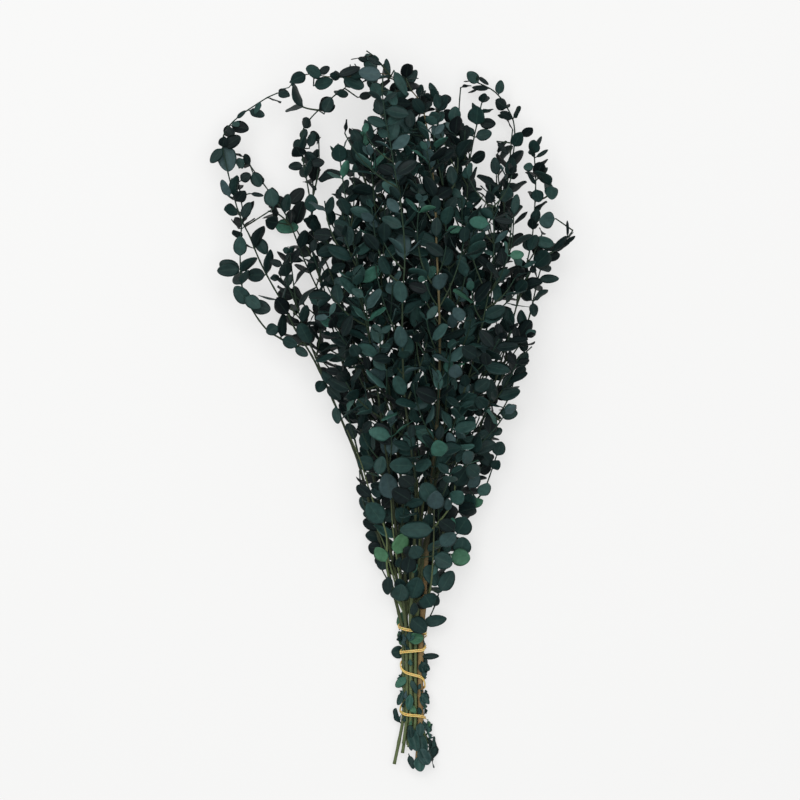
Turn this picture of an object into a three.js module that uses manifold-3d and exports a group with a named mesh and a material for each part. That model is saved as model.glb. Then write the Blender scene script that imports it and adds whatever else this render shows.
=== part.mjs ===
// A bunch of dried eucalyptus that lies on a table, held near its cut ends by a rubber band.
// Millimetres. +X runs across the bunch, +Y from the cut ends to the tips, +Z up from the table.
// Each leafy stem is one solid: its woody stem, its side shoots and its leaves grown together.
import * as THREE from 'three';
import { mergeVertices } from 'three/addons/utils/BufferGeometryUtils.js';
import Module from 'manifold-3d';

const wasm = await Module();
wasm.setup();

// Bundle, where the band holds the stems
const BUNDLE_HEIGHT = 8.16;        // height of the bundle's middle over the table
const STEM_RADIUS = 1.65;          // a stem at its cut end
const WOODY_RADIUS = 2.9;          // the one thick brown stem
const TIP_RADIUS = 0.65;           // every stem and shoot at its tip
const SHOOT_RADIUS = 0.95;         // a side shoot at its root
const SLOT_SCALE = 0.93;           // how close together the band draws the stems
const FAN_START = 112;             // along Y, where the stems begin to rise and fan out
const FAN_TOP = 430;               // along Y, where each stem has reached its own height

const BAND_SHARE = 0.18;           // of a stem's length, where it keeps its full radius
const THINNING = 2.2;              // how soon a stem thins above that
const WOODY_THINNING = 2;

// Leaves
const LEAF_LENGTH = 25;
const LEAF_WIDTH_SHARE = 0.64;     // width over length
const SLENDER = 0.38;              // width of the slender leaves, over that of the others
const LEAF_THICKNESS = 0.7;
const PETIOLE = 1.6;
const ROUNDNESS = 0.6;             // of a leaf's outline: lower is blunter
const PRESSED = 16;                // degrees by which a leaf on top of its stem lies closer to it
const TURNED_TO_LIGHT = 0.8;       // share of the way that leaves twist to face up
const LOW_LEAVES = 150;            // along Y, below which leaves have LOW_SIZE
const HIGH_LEAVES = 420;           // and above which they have HIGH_SIZE
const LOW_SIZE = 1.04;
const HIGH_SIZE = 0.92;
const TAPER = 0.45;                // how much smaller the last leaves of a shoot are
const LEAF_ROOT = 1.5;             // the root of a leaf, along its stem
const FIRST_LEAVES = 128;          // along Y, below which a stem is bare
const INTERNODE_LOW = 21;          // between leaf pairs, low on a stem
const INTERNODE_TIP = 10;          // between leaf pairs, at its tip
const SHOOT_INTERNODE_LOW = 15;
const SHOOT_INTERNODE_TIP = 9;
const OPEN_STEP = 2;               // every second leaf pair is modelled on the open half of a stem
const DENSE_STEP = 3;              // and every third one in the dense middle of the bunch
const OPEN_FROM = 0.62;            // where along a stem its open half begins
const BARE_STEP = 2;               // a bare stem bends at every second node

// Rubber band
const STRAND_RADIUS = 0.6;
const BAND_CLEARANCE = 0.3;
const STRAND_PITCH = 1.4;          // between the two strands of the doubled band

const RESTING_HEIGHT = 1;          // of a shoot that lies on the table
const LIES_FROM = 0.7;             // share of its length from where it lies there
const RESTING_SPREAD = 1.6;        // of its leaves: outward for each millimetre along it

// Clearance between leaves and stems, kept by cells of space
const CELL = 1.6;
const SAMPLE = 2;
const NEAR_ROOT = 7;               // a leaf may be this close to its own stem and its twin
const OWN_STEM_CLEAR = 1.2;        // outward from the stem's middle, for the whole blade
const OWN_STEM_GAP = 0.9;          // from the stem's bark, for the blade beyond NEAR_ROOT

// Colours
const LEAF_COLOURS = [0x27443f, 0x2f5a4c, 0x22403f, 0x34675a, 0x2b4a4a];
const BAND_COLOUR = 0xd7b45a;

// Stems. slot: place in the bundle's cross-section, from its middle (x, z). cut: the cut end (x, y).
// heights: over the table at FAN_TOP and at the tip. route: the stem's way through the fan (x, y).
// shoots: side shoots traced by hand, from their root on the stem (x, y), and their rise to the tip.
const STEMS = [
  {
    name: 'stem_back_centre', slot: [0.9, -5.4], cut: [1, 16], heights: [20, 24],
    route: [[-4, 246], [-6, 300], [-10, 360], [-18, 420], [-30, 470], [-40, 520], [-48, 556], [-50, 573]],
    shoots: [
      { route: [[-6, 300], [4, 320], [14, 345], [20, 372]], rise: -16, rests: true },
    ],
  },
  {
    name: 'stem_back_left', slot: [-4.7, -2.6], cut: [-4, 20], heights: [27, 22],
    route: [[-31, 246], [-42, 291], [-54, 336], [-67, 381], [-78, 418], [-97, 460], [-113, 500], [-125, 518],
      [-144, 544], [-153, 557]],
    shoots: [
      { route: [[-78, 418], [-84, 446], [-96, 474], [-108, 496], [-116, 524]], rise: -24, rests: true },
      { route: [[-113, 500], [-121, 504], [-131, 507]], rise: 6 },
      { route: [[-54, 336], [-60, 362], [-70, 388], [-86, 406]], rise: -8 },
    ],
  },
  {
    name: 'stem_back_right', slot: [4.8, -4.4], cut: [5, 14], heights: [29, 24],
    route: [[23, 246], [38, 291], [52, 336], [63, 381], [73, 426], [80, 460], [84, 516], [88, 543], [92, 562],
      [93, 579], [90, 594], [76, 615], [55, 626]],
    shoots: [
      { route: [[73, 426], [70, 452], [72, 480], [80, 505], [82, 534]], rise: -26, rests: true },
      { route: [[84, 516], [78, 527], [76, 538]], rise: 12 },
      { route: [[92, 562], [98, 571], [101, 580]], rise: 5 },
    ],
  },
  {
    name: 'stem_back_inner_left', slot: [-0.9, -1.8], cut: [-1, 24], heights: [40, 52],
    route: [[-15, 246], [-24, 291], [-36, 336], [-51, 381], [-65, 426], [-78, 460], [-88, 482], [-93, 520],
      [-99, 554], [-101, 567], [-98, 580], [-90, 591], [-72, 608], [-61, 616]],
    shoots: [
      { route: [[-93, 520], [-87, 530], [-85, 542]], rise: 8 },
      { route: [[-65, 426], [-62, 452], [-66, 480], [-76, 500]], rise: 8 },
      { route: [[-90, 591], [-98, 599], [-105, 607]], rise: 2 },
    ],
  },
  {
    name: 'stem_back_inner_right', slot: [3, -0.9], cut: [4, 26], heights: [46, 56],
    route: [[10, 246], [19, 291], [28, 336], [36, 381], [43, 426], [47, 471], [49, 516], [51, 547], [55, 570],
      [62, 602]],
    shoots: [
      { route: [[43, 426], [54, 446], [58, 470], [58, 500]], rise: -8 },
      { route: [[28, 336], [20, 362], [10, 390], [8, 420]], rise: -4 },
    ],
  },
  {
    name: 'stem_left', slot: [-8.5, 2.5], cut: [-16.5, 3], heights: [48, 40],
    route: [[-40, 246], [-50, 282], [-61, 310], [-72, 336], [-90, 374], [-106, 400], [-117, 423], [-129, 444],
      [-139, 464], [-147, 484], [-155, 500], [-162, 523], [-171, 562], [-170, 576], [-162, 587], [-151, 596],
      [-131, 609], [-122, 613]],
    shoots: [
      { route: [[-90, 374], [-101, 381], [-115, 389], [-130, 398], [-141, 412], [-153, 436], [-155, 471],
        [-153, 498]], rise: 10 },
      { route: [[-72, 336], [-81, 358], [-90, 381], [-99, 403], [-105, 426], [-110, 466]], rise: 14 },
      { route: [[-30, 215], [-40, 230], [-46, 250], [-48, 272]], rise: 8 },
    ],
  },
  {
    name: 'stem_right', slot: [7, -0.4], cut: [14, 21], heights: [52, 46],
    route: [[36, 246], [54, 291], [68, 331], [79, 367], [88, 399], [96, 430], [103, 460], [108, 484],
      [111, 529], [110, 552], [109, 567]],
    shoots: [
      { route: [[96, 430], [106, 451], [119, 465], [131, 472], [144, 488]], rise: 4, slender: true },
      { route: [[79, 367], [91, 385], [103, 403], [109, 424], [115, 450], [123, 472]], rise: -14 },
      { route: [[68, 331], [79, 352], [89, 366], [108, 384]], rise: 4 },
      { route: [[54, 291], [66, 307], [79, 323], [88, 339], [95, 363]], rise: -10 },
      { route: [[30, 228], [43, 235], [56, 243], [66, 256], [76, 284]], rise: 4 },
      { route: [[110, 504], [122, 520], [125, 536]], rise: 4 },
    ],
  },
  {
    name: 'stem_inner_left', slot: [-4.6, 1.6], cut: [-9, 13], heights: [68, 76],
    route: [[-9, 246], [-14, 291], [-20, 336], [-25, 381], [-27, 426], [-29, 471], [-28, 507], [-27, 543],
      [-23, 579], [-18, 606], [-9, 620], [-1, 628]],
    shoots: [
      { route: [[-20, 336], [-32, 356], [-42, 380], [-50, 410]], rise: 4 },
      { route: [[-28, 507], [-40, 526], [-46, 548], [-44, 572]], rise: 8 },
    ],
  },
  {
    name: 'stem_inner_right', slot: [-0.6, 2.4], cut: [-2.2, 28], heights: [76, 84],
    route: [[18, 246], [25, 291], [32, 336], [36, 381], [34, 426], [31, 471], [28, 507], [26, 543], [23, 574],
      [22, 597], [21, 612]],
    shoots: [
      { route: [[36, 381], [46, 402], [54, 430], [58, 460]], rise: 2 },
      { route: [[28, 507], [38, 530], [40, 556], [36, 580]], rise: 6 },
    ],
  },
  {
    name: 'stem_front_left', slot: [-5.4, 5.6], cut: [-8, 22], heights: [92, 100],
    route: [[-18, 246], [-24, 291], [-29, 327], [-35, 372], [-42, 408], [-49, 453], [-56, 493], [-61, 525],
      [-66, 562]],
    shoots: [
      { route: [[-29, 327], [-40, 344], [-52, 366], [-60, 392]], rise: -6 },
      { route: [[-49, 453], [-64, 470], [-74, 490], [-78, 512]], rise: -4 },
      { route: [[-20, 260], [-32, 274], [-42, 294], [-46, 316]], rise: -4 },
    ],
  },
  {
    name: 'stem_front_right', slot: [3, 3.8], cut: [1.2, 26], heights: [86, 94],
    route: [[18, 246], [28, 286], [41, 327], [52, 363], [61, 399], [68, 435], [72, 471], [71, 500], [68, 526]],
    shoots: [
      { route: [[41, 327], [54, 342], [66, 362], [72, 388]], rise: -6 },
      { route: [[68, 435], [80, 452], [88, 474], [90, 500]], rise: -8 },
      { route: [[20, 256], [32, 268], [44, 284], [52, 302]], rise: -4 },
    ],
  },
  {
    name: 'stem_arching', slot: [7.9, 4.7], cut: [5, 6], heights: [104, 84], radius: WOODY_RADIUS,
    taper: 0.72,
    route: [[16, 246], [20, 291], [23, 336], [24, 381], [23, 426], [21, 471], [20, 507], [18, 534], [16, 556],
      [12, 580], [7, 599], [-4, 613], [-17, 622], [-31, 626], [-49, 624], [-67, 622], [-83, 624], [-98, 624],
      [-110, 613]],
    shoots: [
      { route: [[-17, 622], [-25, 630], [-34, 640], [-41, 645]], rise: 6 },
      { route: [[-4, 613], [-6, 621], [-5, 629]], rise: 4 },
      { route: [[23, 426], [10, 450], [4, 480], [6, 510]], rise: 4 },
    ],
  },
  {
    name: 'stem_front_centre', slot: [-1.7, 6.9], cut: [-3.2, 19], heights: [112, 118],
    route: [[3, 246], [-1, 291], [-7, 336], [-9, 381], [-9, 426], [-7, 460], [-9, 493], [-14, 525],
      [-19, 556], [-24, 583], [-27, 606]],
    shoots: [
      { route: [[-7, 336], [4, 358], [12, 384], [14, 412]], rise: -4 },
      { route: [[-9, 426], [-22, 448], [-32, 474], [-36, 504]], rise: -6 },
    ],
  },
];

// Rubber band: where each half turn passes the bundle's side (degrees round the bundle, y, split).
// 180 is the left side, 90 the top, 0 the right side. split: how far the two strands stand apart.
const BAND_TURNS = [
  [225, 131, 1], [180, 128.7, 1], [90, 126, 1.1], [0, 122.4, 1.8], [-90, 113, 1.2], [-180, 104.4, 1],
  [-270, 107, 1], [-360, 111.6, 1.3], [-450, 103, 1], [-540, 93.6, 1], [-630, 85, 1], [-720, 75.6, 1],
  [-810, 64, 1], [-900, 52.2, 1], [-990, 48, 1], [-1080, 45, 1], [-1170, 45, 1], [-1230, 45, 1],
];
const BAND_STEP = 30;              // degrees between the points of the band's route

// Outline of the lying bunch: its left and right edges (x, y), which no leaf passes
const LEFT_EDGE = [[-15, 0], [-15, 129], [-20, 156], [-33, 183], [-46, 205], [-54, 268], [-60, 300],
  [-73, 336], [-90, 372], [-118, 390], [-146, 421], [-163, 439], [-177, 457], [-166, 480], [-164, 496],
  [-173, 520],
  [-181, 556], [-181, 575], [-166, 592], [-150, 606], [-120, 650]];
const RIGHT_EDGE = [[24, 0], [24, 141], [38, 181], [54, 200], [64, 241], [76, 280], [84, 309], [97, 330],
  [110, 381], [116, 420], [130, 444], [138, 471], [150, 484], [134, 505], [133, 530], [124, 561], [104, 592],
  [100, 650]];
const EDGE_CLEAR = 1.5;
const TABLE_CLEAR = 0.2;
// Its top edge (y, x)
const TOP_EDGE = [[612, -150], [617, -130], [619, -118], [630, -112], [638, -105], [638, -75], [635, -60], [644, -50],
  [648, -36], [640, -26], [638, -18], [632, -9], [632, 4], [616, 9], [613, 27], [600, 32], [597, 42],
  [630, 45], [630, 60], [618, 65], [618, 80], [604, 90], [600, 105], [570, 112]];

// Vectors, as arrays of three numbers
const add = (a, b, scale = 1) => a.map((value, i) => value + b[i] * scale);
const minus = (a, b) => a.map((value, i) => value - b[i]);
const dot = (a, b) => a[0] * b[0] + a[1] * b[1] + a[2] * b[2];
const cross = (a, b) => [a[1] * b[2] - a[2] * b[1], a[2] * b[0] - a[0] * b[2], a[0] * b[1] - a[1] * b[0]];
const unit = (a) => a.map((value) => value / Math.sqrt(dot(a, a)));
const distance = (a, b) => Math.sqrt(dot(minus(a, b), minus(a, b)));
const mix = (a, b, share) => a + (b - a) * share;
const radians = (degrees) => degrees * Math.PI / 180;

// Seeded random numbers from 0 to 1
function randomFrom(seed) {
  let state = (seed * 7919 + 12345) % 2147483647;
  const next = () => {
    state = (state * 16807) % 2147483647;
    return state / 2147483647;
  };
  next();
  next();
  return next;
}

// x of a hand-traced edge at y
function edgeAt(edge, y) {
  const last = edge.findIndex((point) => point[1] >= y);
  if (last === 0) return edge[0][0];
  if (last < 0) return edge[edge.length - 1][0];
  const [x0, y0] = edge[last - 1];
  const [x1, y1] = edge[last];
  return mix(x0, x1, (y - y0) / (y1 - y0));
}

// Curve through hand-set points, as a dense list
function denseCurve(points, parts = 12) {
  const dense = [];
  for (let i = 0; i + 1 < points.length; i += 1) {
    const a = points[Math.max(i - 1, 0)];
    const b = points[i];
    const c = points[i + 1];
    const d = points[Math.min(i + 2, points.length - 1)];
    for (let k = 0; k < parts; k += 1) {
      const t = k / parts;
      dense.push(b.map((value, j) => value + 0.5 * t * (c[j] - a[j]
        + t * (2 * a[j] - 5 * b[j] + 4 * c[j] - d[j] + t * (3 * (b[j] - c[j]) + d[j] - a[j])))));
    }
  }
  dense.push(points[points.length - 1]);
  return dense;
}

// Points along a dense list, where the leaf pairs grow: their spacing goes from low to tip
function leafNodes(dense, low, tip) {
  const lengths = [0];
  for (let i = 1; i < dense.length; i += 1) lengths.push(lengths[i - 1] + distance(dense[i], dense[i - 1]));
  const total = lengths[lengths.length - 1];
  const stations = [0];
  while (stations[stations.length - 1] < total) {
    const here = stations[stations.length - 1];
    stations.push(here + mix(low, tip, here / total));
  }
  const stretch = total / stations[stations.length - 1];
  let i = 1;
  return stations.map((station) => {
    const along = Math.min(station * stretch, total);
    while (i < lengths.length - 1 && lengths[i] < along) i += 1;
    const share = (along - lengths[i - 1]) / (lengths[i] - lengths[i - 1]);
    return add(dense[i - 1], minus(dense[i], dense[i - 1]), share);
  });
}

// Height of a stem over the table: level in the band, then a straight rise to its own height
function stemHeight(stem, y) {
  const tied = BUNDLE_HEIGHT + stem.slot[1] * SLOT_SCALE;
  const [top, tip] = stem.heights;
  const tipY = Math.max(...stem.route.map((point) => point[1]));
  if (y <= FAN_START) return tied;
  if (y <= FAN_TOP) return mix(tied, top, (y - FAN_START) / (FAN_TOP - FAN_START));
  return mix(top, tip, (y - FAN_TOP) / (tipY - FAN_TOP));
}

// The whole of a stem's route: cut end, band, fan
function stemPoints(stem) {
  const slotX = stem.slot[0] * SLOT_SCALE;
  const lower = [[stem.cut[0], stem.cut[1], stemHeight(stem, 0)]];
  for (const [y, spread] of [[46, 1.04], [76, 1], [104, 1.06], [130, 1.22]]) {
    lower.push([slotX * spread, y, stemHeight(stem, y)]);
  }
  return lower.concat(stem.route.map(([x, y]) => [x, y, stemHeight(stem, y)]));
}

// A side shoot starts inside its stem, at the nearest modelled leaf node, and follows its own route
function shootPoints(shoot, stemPath) {
  const [x, y] = shoot.route[0];
  const away = (i) => Math.hypot(stemPath[i][0] - x, stemPath[i][1] - y);
  const root = stemPath[modelledNodes(stemPath).reduce((best, i) => (away(i) < away(best) ? i : best))];
  const count = shoot.route.length - 1;
  const lowest = shoot.rests ? RESTING_HEIGHT : 0;
  return [root].concat(shoot.route.slice(1).map(([nextX, nextY], i) => {
    const share = (i + 1) / count;
    const height = root[2] + shoot.rise * share;
    return [nextX, nextY, shoot.rests && share > LIES_FROM ? lowest : Math.max(height, lowest)];
  }));
}

// Directions at a point of a path: along it, level across it, and up from it
function frameAt(path, i) {
  const along = unit(minus(path[Math.min(i + 1, path.length - 1)], path[Math.max(i - 1, 0)]));
  const across = unit(cross(along, [0, 0, 1]));
  return { along, across, up: cross(across, along) };
}

// Space that stems and leaves take up, as cells with the numbers of their owners
const taken = new Map();
const cellKey = (x, y, z) => (Math.floor(x / CELL) + 512) * 1048576
  + (Math.floor(y / CELL) + 512) * 1024 + Math.floor(z / CELL) + 512;

function take(point, reach, owner) {
  for (let i = -reach; i <= reach; i += 1) {
    for (let j = -reach; j <= reach; j += 1) {
      for (let k = -reach; k <= reach; k += 1) {
        const key = cellKey(point[0] + i * CELL, point[1] + j * CELL, point[2] + k * CELL);
        if (!taken.has(key)) taken.set(key, new Set());
        taken.get(key).add(owner);
      }
    }
  }
}

function isFree(point, allowed) {
  const owners = taken.get(cellKey(...point));
  return !owners || [...owners].every((owner) => allowed.includes(owner));
}

// Stems and shoots of the whole bunch, each with its leaf nodes
function growShoots() {
  const shoots = [];
  for (const stem of STEMS) {
    const path = leafNodes(denseCurve(stemPoints(stem)), INTERNODE_LOW, INTERNODE_TIP);
    shoots.push({ stem, path, low: stem.radius ?? STEM_RADIUS, main: true, taper: stem.taper ?? TAPER });
    for (const side of stem.shoots) {
      const dense = denseCurve(shootPoints(side, path));
      if (side.rests) for (const point of dense) point[2] = Math.max(point[2], RESTING_HEIGHT);
      const nodes = leafNodes(dense, SHOOT_INTERNODE_LOW, SHOOT_INTERNODE_TIP);
      shoots.push({
        stem, path: nodes, low: SHOOT_RADIUS, main: false, rests: side.rests, taper: TAPER, slender: side.slender,
      });
    }
  }
  shoots.forEach((shoot, number) => {
    shoot.number = number;
    shoot.turn = shoot.rests ? 0 : mix(-30, 30, randomFrom(number)());
  });
  return shoots;
}

// Radius at a node: full in the band, and thinning above it
function radiusAt(shoot, i) {
  const share = Math.max(0, i / (shoot.path.length - 1) - BAND_SHARE) / (1 - BAND_SHARE);
  const power = shoot.low > STEM_RADIUS ? WOODY_THINNING : THINNING;
  return mix(TIP_RADIUS, shoot.low, (1 - share) ** power);
}

function takeShoot(shoot) {
  for (let i = 0; i + 1 < shoot.path.length; i += 1) {
    const steps = Math.ceil(distance(shoot.path[i], shoot.path[i + 1]) / SAMPLE);
    for (let k = 0; k < steps; k += 1) {
      const point = add(shoot.path[i], minus(shoot.path[i + 1], shoot.path[i]), k / steps);
      take(point, radiusAt(shoot, i) > 1.2 ? 2 : 1, -1 - shoot.number);
    }
  }
}

// Half the width of a leaf over its length, at a share of the way from its base to its tip
function halfWidth(leaf, share) {
  return leaf.width * 0.5 * Math.sin(Math.PI * Math.min(share * 0.93 + 0.07, 1)) ** ROUNDNESS;
}

// A point of the blade: its distance from the root along the leaf, and across it
function bladePoint(leaf, out, side) {
  const share = out / leaf.length;
  const raised = leaf.curl * share * share * leaf.length;
  return add(add(add(leaf.root, leaf.along, out), leaf.across, side), leaf.normal, raised);
}

function leafSamples(leaf) {
  const samples = [];
  const rows = Math.ceil(leaf.length / SAMPLE);
  for (let i = 1; i <= rows; i += 1) {
    const share = i / rows;
    const half = halfWidth(leaf, share);
    const columns = Math.ceil(half / SAMPLE);
    for (let k = -columns; k <= columns; k += 1) {
      const side = columns ? half * k / columns : 0;
      samples.push(bladePoint(leaf, PETIOLE + share * leaf.length, side));
    }
  }
  return samples;
}

// One leaf of a pair: turn is its place round the shoot in degrees, spread its angle to the shoot.
// It twists on its petiole towards the light above, and by roll more.
function makeLeaf(frame, root, turn, spread, roll, length, form) {
  const angle = radians(turn);
  const outward = add(frame.across.map((value) => value * Math.cos(angle)), frame.up, Math.sin(angle));
  const lean = radians(spread - PRESSED * Math.max(0, outward[2]));
  const along = unit(add(frame.along.map((value) => value * Math.cos(lean)), outward, Math.sin(lean)));
  const facing = add(frame.along.map((value) => value * Math.sin(lean)), outward, -Math.cos(lean));
  const level = cross(facing, along);
  const toLight = Math.atan(level[2] / (Math.abs(facing[2]) + 0.05)) * (facing[2] >= 0 ? 1 : -1);
  const twist = radians(roll) + toLight * TURNED_TO_LIGHT;
  const normal = unit(add(facing.map((value) => value * Math.cos(twist)), level, Math.sin(twist)));
  return {
    root, along, normal, across: cross(normal, along), length, outward,
    width: length * LEAF_WIDTH_SHARE * form.width, curl: form.curl,
  };
}

// A leaf pressed flat on the table
function makeRestingLeaf(frame, root, hand, length) {
  const outward = [frame.across[0] * hand, frame.across[1] * hand, 0];
  const along = unit(add([frame.along[0], frame.along[1], 0], outward, RESTING_SPREAD));
  const normal = [0, 0, 1];
  return {
    root: [root[0], root[1], LEAF_THICKNESS / 2], along, normal, across: cross(normal, along), length,
    outward, width: length * LEAF_WIDTH_SHARE, curl: 0,
  };
}

// Distance of a point from a straight run
function gapToRun(point, from, to) {
  const run = minus(to, from);
  const share = Math.min(Math.max(dot(minus(point, from), run) / dot(run, run), 0), 1);
  return distance(point, add(from, run, share));
}

// Whether the far part of a leaf keeps off the stem that it grows from
function clearsOwnStem(points, shoot, i) {
  const path = shoot.path.slice(Math.max(0, i - 3), i + 5);
  const least = radiusAt(shoot, i) + OWN_STEM_GAP;
  return points.every((point) => path.slice(1).every((to, k) => gapToRun(point, path[k], to) > least));
}

// Whether a leaf keeps clear of the table, the bunch's edges and everything already placed
function fits(leaf, shoot, i, own) {
  const points = leafSamples(leaf);
  const ownStem = [-1 - shoot.number];
  const near = (point) => distance(point, leaf.root) < NEAR_ROOT;
  const free = points.every((point) => {
    const inside = point[0] > edgeAt(LEFT_EDGE, point[1]) + EDGE_CLEAR
      && point[0] < edgeAt(RIGHT_EDGE, point[1]) - EDGE_CLEAR && point[1] < edgeAt(TOP_EDGE, point[0]);
    const clear = isFree(point, near(point) ? [...ownStem, own] : ownStem);
    const outside = dot(minus(point, leaf.root), leaf.outward) > OWN_STEM_CLEAR;
    return inside && clear && outside && point[2] > LEAF_THICKNESS / 2 + TABLE_CLEAR;
  });
  return free && clearsOwnStem(points.filter((point) => !near(point)), shoot, i);
}

// Other turns and twists, in degrees, that a leaf tries when something is in its way
const ASIDE = [[0, 0], [20, 25], [-20, -25], [30, 55], [-30, -55], [0, 80], [0, -80], [32, -20], [-32, 20]];
const SCALES = [1, 0.82];

// Length of a leaf at a node of a shoot, before its own small difference
function leafLength(shoot, i) {
  const share = i / (shoot.path.length - 1);
  const rise = Math.min(Math.max((shoot.path[i][1] - LOW_LEAVES) / (HIGH_LEAVES - LOW_LEAVES), 0), 1);
  return LEAF_LENGTH * mix(LOW_SIZE, HIGH_SIZE, rise) * (1 - shoot.taper * share ** 5);
}

// Leaf pairs stand crosswise to the pair before
function growPair(shoot, i, leaves) {
  const random = randomFrom(shoot.number * 101 + i);
  const frame = frameAt(shoot.path, i);
  const resting = shoot.rests && i >= shoot.path.length - 3;
  const own = shoot.number * 1000 + i;
  const slim = shoot.slender && i > shoot.path.length / 2 ? SLENDER : 1;
  for (const hand of [0, 1]) {
    const face = resting ? hand * 2 : (i % 2) + hand * 2;
    const form = { width: mix(0.86, 1.1, random()) * slim, curl: mix(-0.16, 0.1, random()) };
    const length = leafLength(shoot, i) * mix(0.8, 1.1, random());
    const spread = mix(36, 70, random());
    const roll = mix(-48, 48, random());
    const turn = shoot.turn + face * 90 + mix(-12, 12, random());
    const grow = ([aside, twist], scale) => (
      makeLeaf(frame, shoot.path[i], turn + aside, spread, roll + twist, length * scale, form));
    const leaf = resting
      ? makeRestingLeaf(frame, shoot.path[i], 1 - 2 * hand, length)
      : SCALES.flatMap((scale) => ASIDE.map((aside) => grow(aside, scale)))
        .find((candidate) => fits(candidate, shoot, i, own));
    if (!leaf) continue;
    for (const point of leafSamples(leaf)) take(point, 1, own);
    leaves.push({ ...leaf, shoot, node: i, face });
  }
}

// Leaf nodes whose pairs are modelled, from the tip down
function modelledNodes(path) {
  const last = path.length - 1;
  const kept = [];
  for (let i = last - 1; i > 0; i -= i / last > OPEN_FROM ? OPEN_STEP : DENSE_STEP) kept.push(i);
  return kept;
}

function growLeaves(shoots) {
  const leaves = [];
  for (const shoot of shoots) {
    for (const i of modelledNodes(shoot.path)) {
      if (shoot.path[i][1] > FIRST_LEAVES) growPair(shoot, i, leaves);
    }
  }
  return leaves;
}

// A closed solid from vertices and triangles, with its faces turned outward
function solidFrom(vertices, triangles) {
  const volume = triangles.reduce((sum, [a, b, c]) => (
    sum + dot(vertices[a], cross(vertices[b], vertices[c]))), 0);
  const faces = volume > 0 ? triangles : triangles.map(([a, b, c]) => [a, c, b]);
  return new wasm.Manifold(new wasm.Mesh({
    numProp: 3,
    vertProperties: new Float32Array(vertices.flat()),
    triVerts: new Uint32Array(faces.flat()),
  }));
}

// Tube round a path, capped at both ends, or closed on itself
function tube(path, radii, sides, closed = false) {
  const vertices = [];
  const triangles = [];
  path.forEach((point, i) => {
    const frame = closed ? loopFrame(path, i) : frameAt(path, i);
    for (let k = 0; k < sides; k += 1) {
      const angle = radians(90 + 360 * k / sides);
      const spoke = add(frame.across.map((value) => value * Math.cos(angle)), frame.up, Math.sin(angle));
      vertices.push(add(point, spoke, radii[i]));
    }
  });
  const rings = closed ? path.length : path.length - 1;
  for (let i = 0; i < rings; i += 1) {
    for (let k = 0; k < sides; k += 1) {
      const a = i * sides + k;
      const b = i * sides + (k + 1) % sides;
      const c = ((i + 1) % path.length) * sides + k;
      const d = ((i + 1) % path.length) * sides + (k + 1) % sides;
      triangles.push([a, b, d], [a, d, c]);
    }
  }
  for (let k = 1; !closed && k + 1 < sides; k += 1) {
    const end = (path.length - 1) * sides;
    triangles.push([0, k + 1, k], [end, end + k, end + k + 1]);
  }
  return solidFrom(vertices, triangles);
}

// Stations along a leaf, as shares of its length from the petiole to the tip
const BLADE_STATIONS = [0.2, 0.52, 0.82];
const SMALL_BLADE_STATIONS = [0.3, 0.74];
const SMALL_BLADE = 18.4;

// Four corners of a leaf's cross-section, counter-clockwise seen from its tip
function bladeCorners(leaf, share) {
  const half = halfWidth(leaf, share);
  const out = PETIOLE + share * leaf.length;
  return [[1, 1], [-1, 1], [-1, -1], [1, -1]].map(([side, face]) => (
    add(bladePoint(leaf, out, side * half), leaf.normal, face * LEAF_THICKNESS / 2)));
}

// The corners of b in the order that twists least away from a
function leastTwist(a, b) {
  const middle = (loop) => loop.reduce((sum, point) => add(sum, point, 0.25), [0, 0, 0]);
  const [from, to] = [middle(a), middle(b)];
  const fit = (shift) => a.reduce((sum, point, j) => (
    sum + dot(unit(minus(point, from)), unit(minus(b[(j + shift) % 4], to)))), 0);
  const best = [0, 1, 2, 3].reduce((top, shift) => (fit(shift) > fit(top) ? shift : top), 0);
  return a.map((point, j) => (j + best) % 4);
}

// Nodes where a modelled shoot has a ring: its ends, its leaf pairs, and bends of its bare part
function ringNodes(shoot) {
  const last = shoot.path.length - 1;
  const leafy = modelledNodes(shoot.path).filter((i) => shoot.path[i][1] > FIRST_LEAVES);
  const lowest = Math.min(last, ...leafy);
  const bare = shoot.path.map((point, i) => i).filter((i) => i > 0 && i < lowest && i % BARE_STEP === 0);
  return [0, ...bare, ...leafy.reverse(), last];
}

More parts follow.
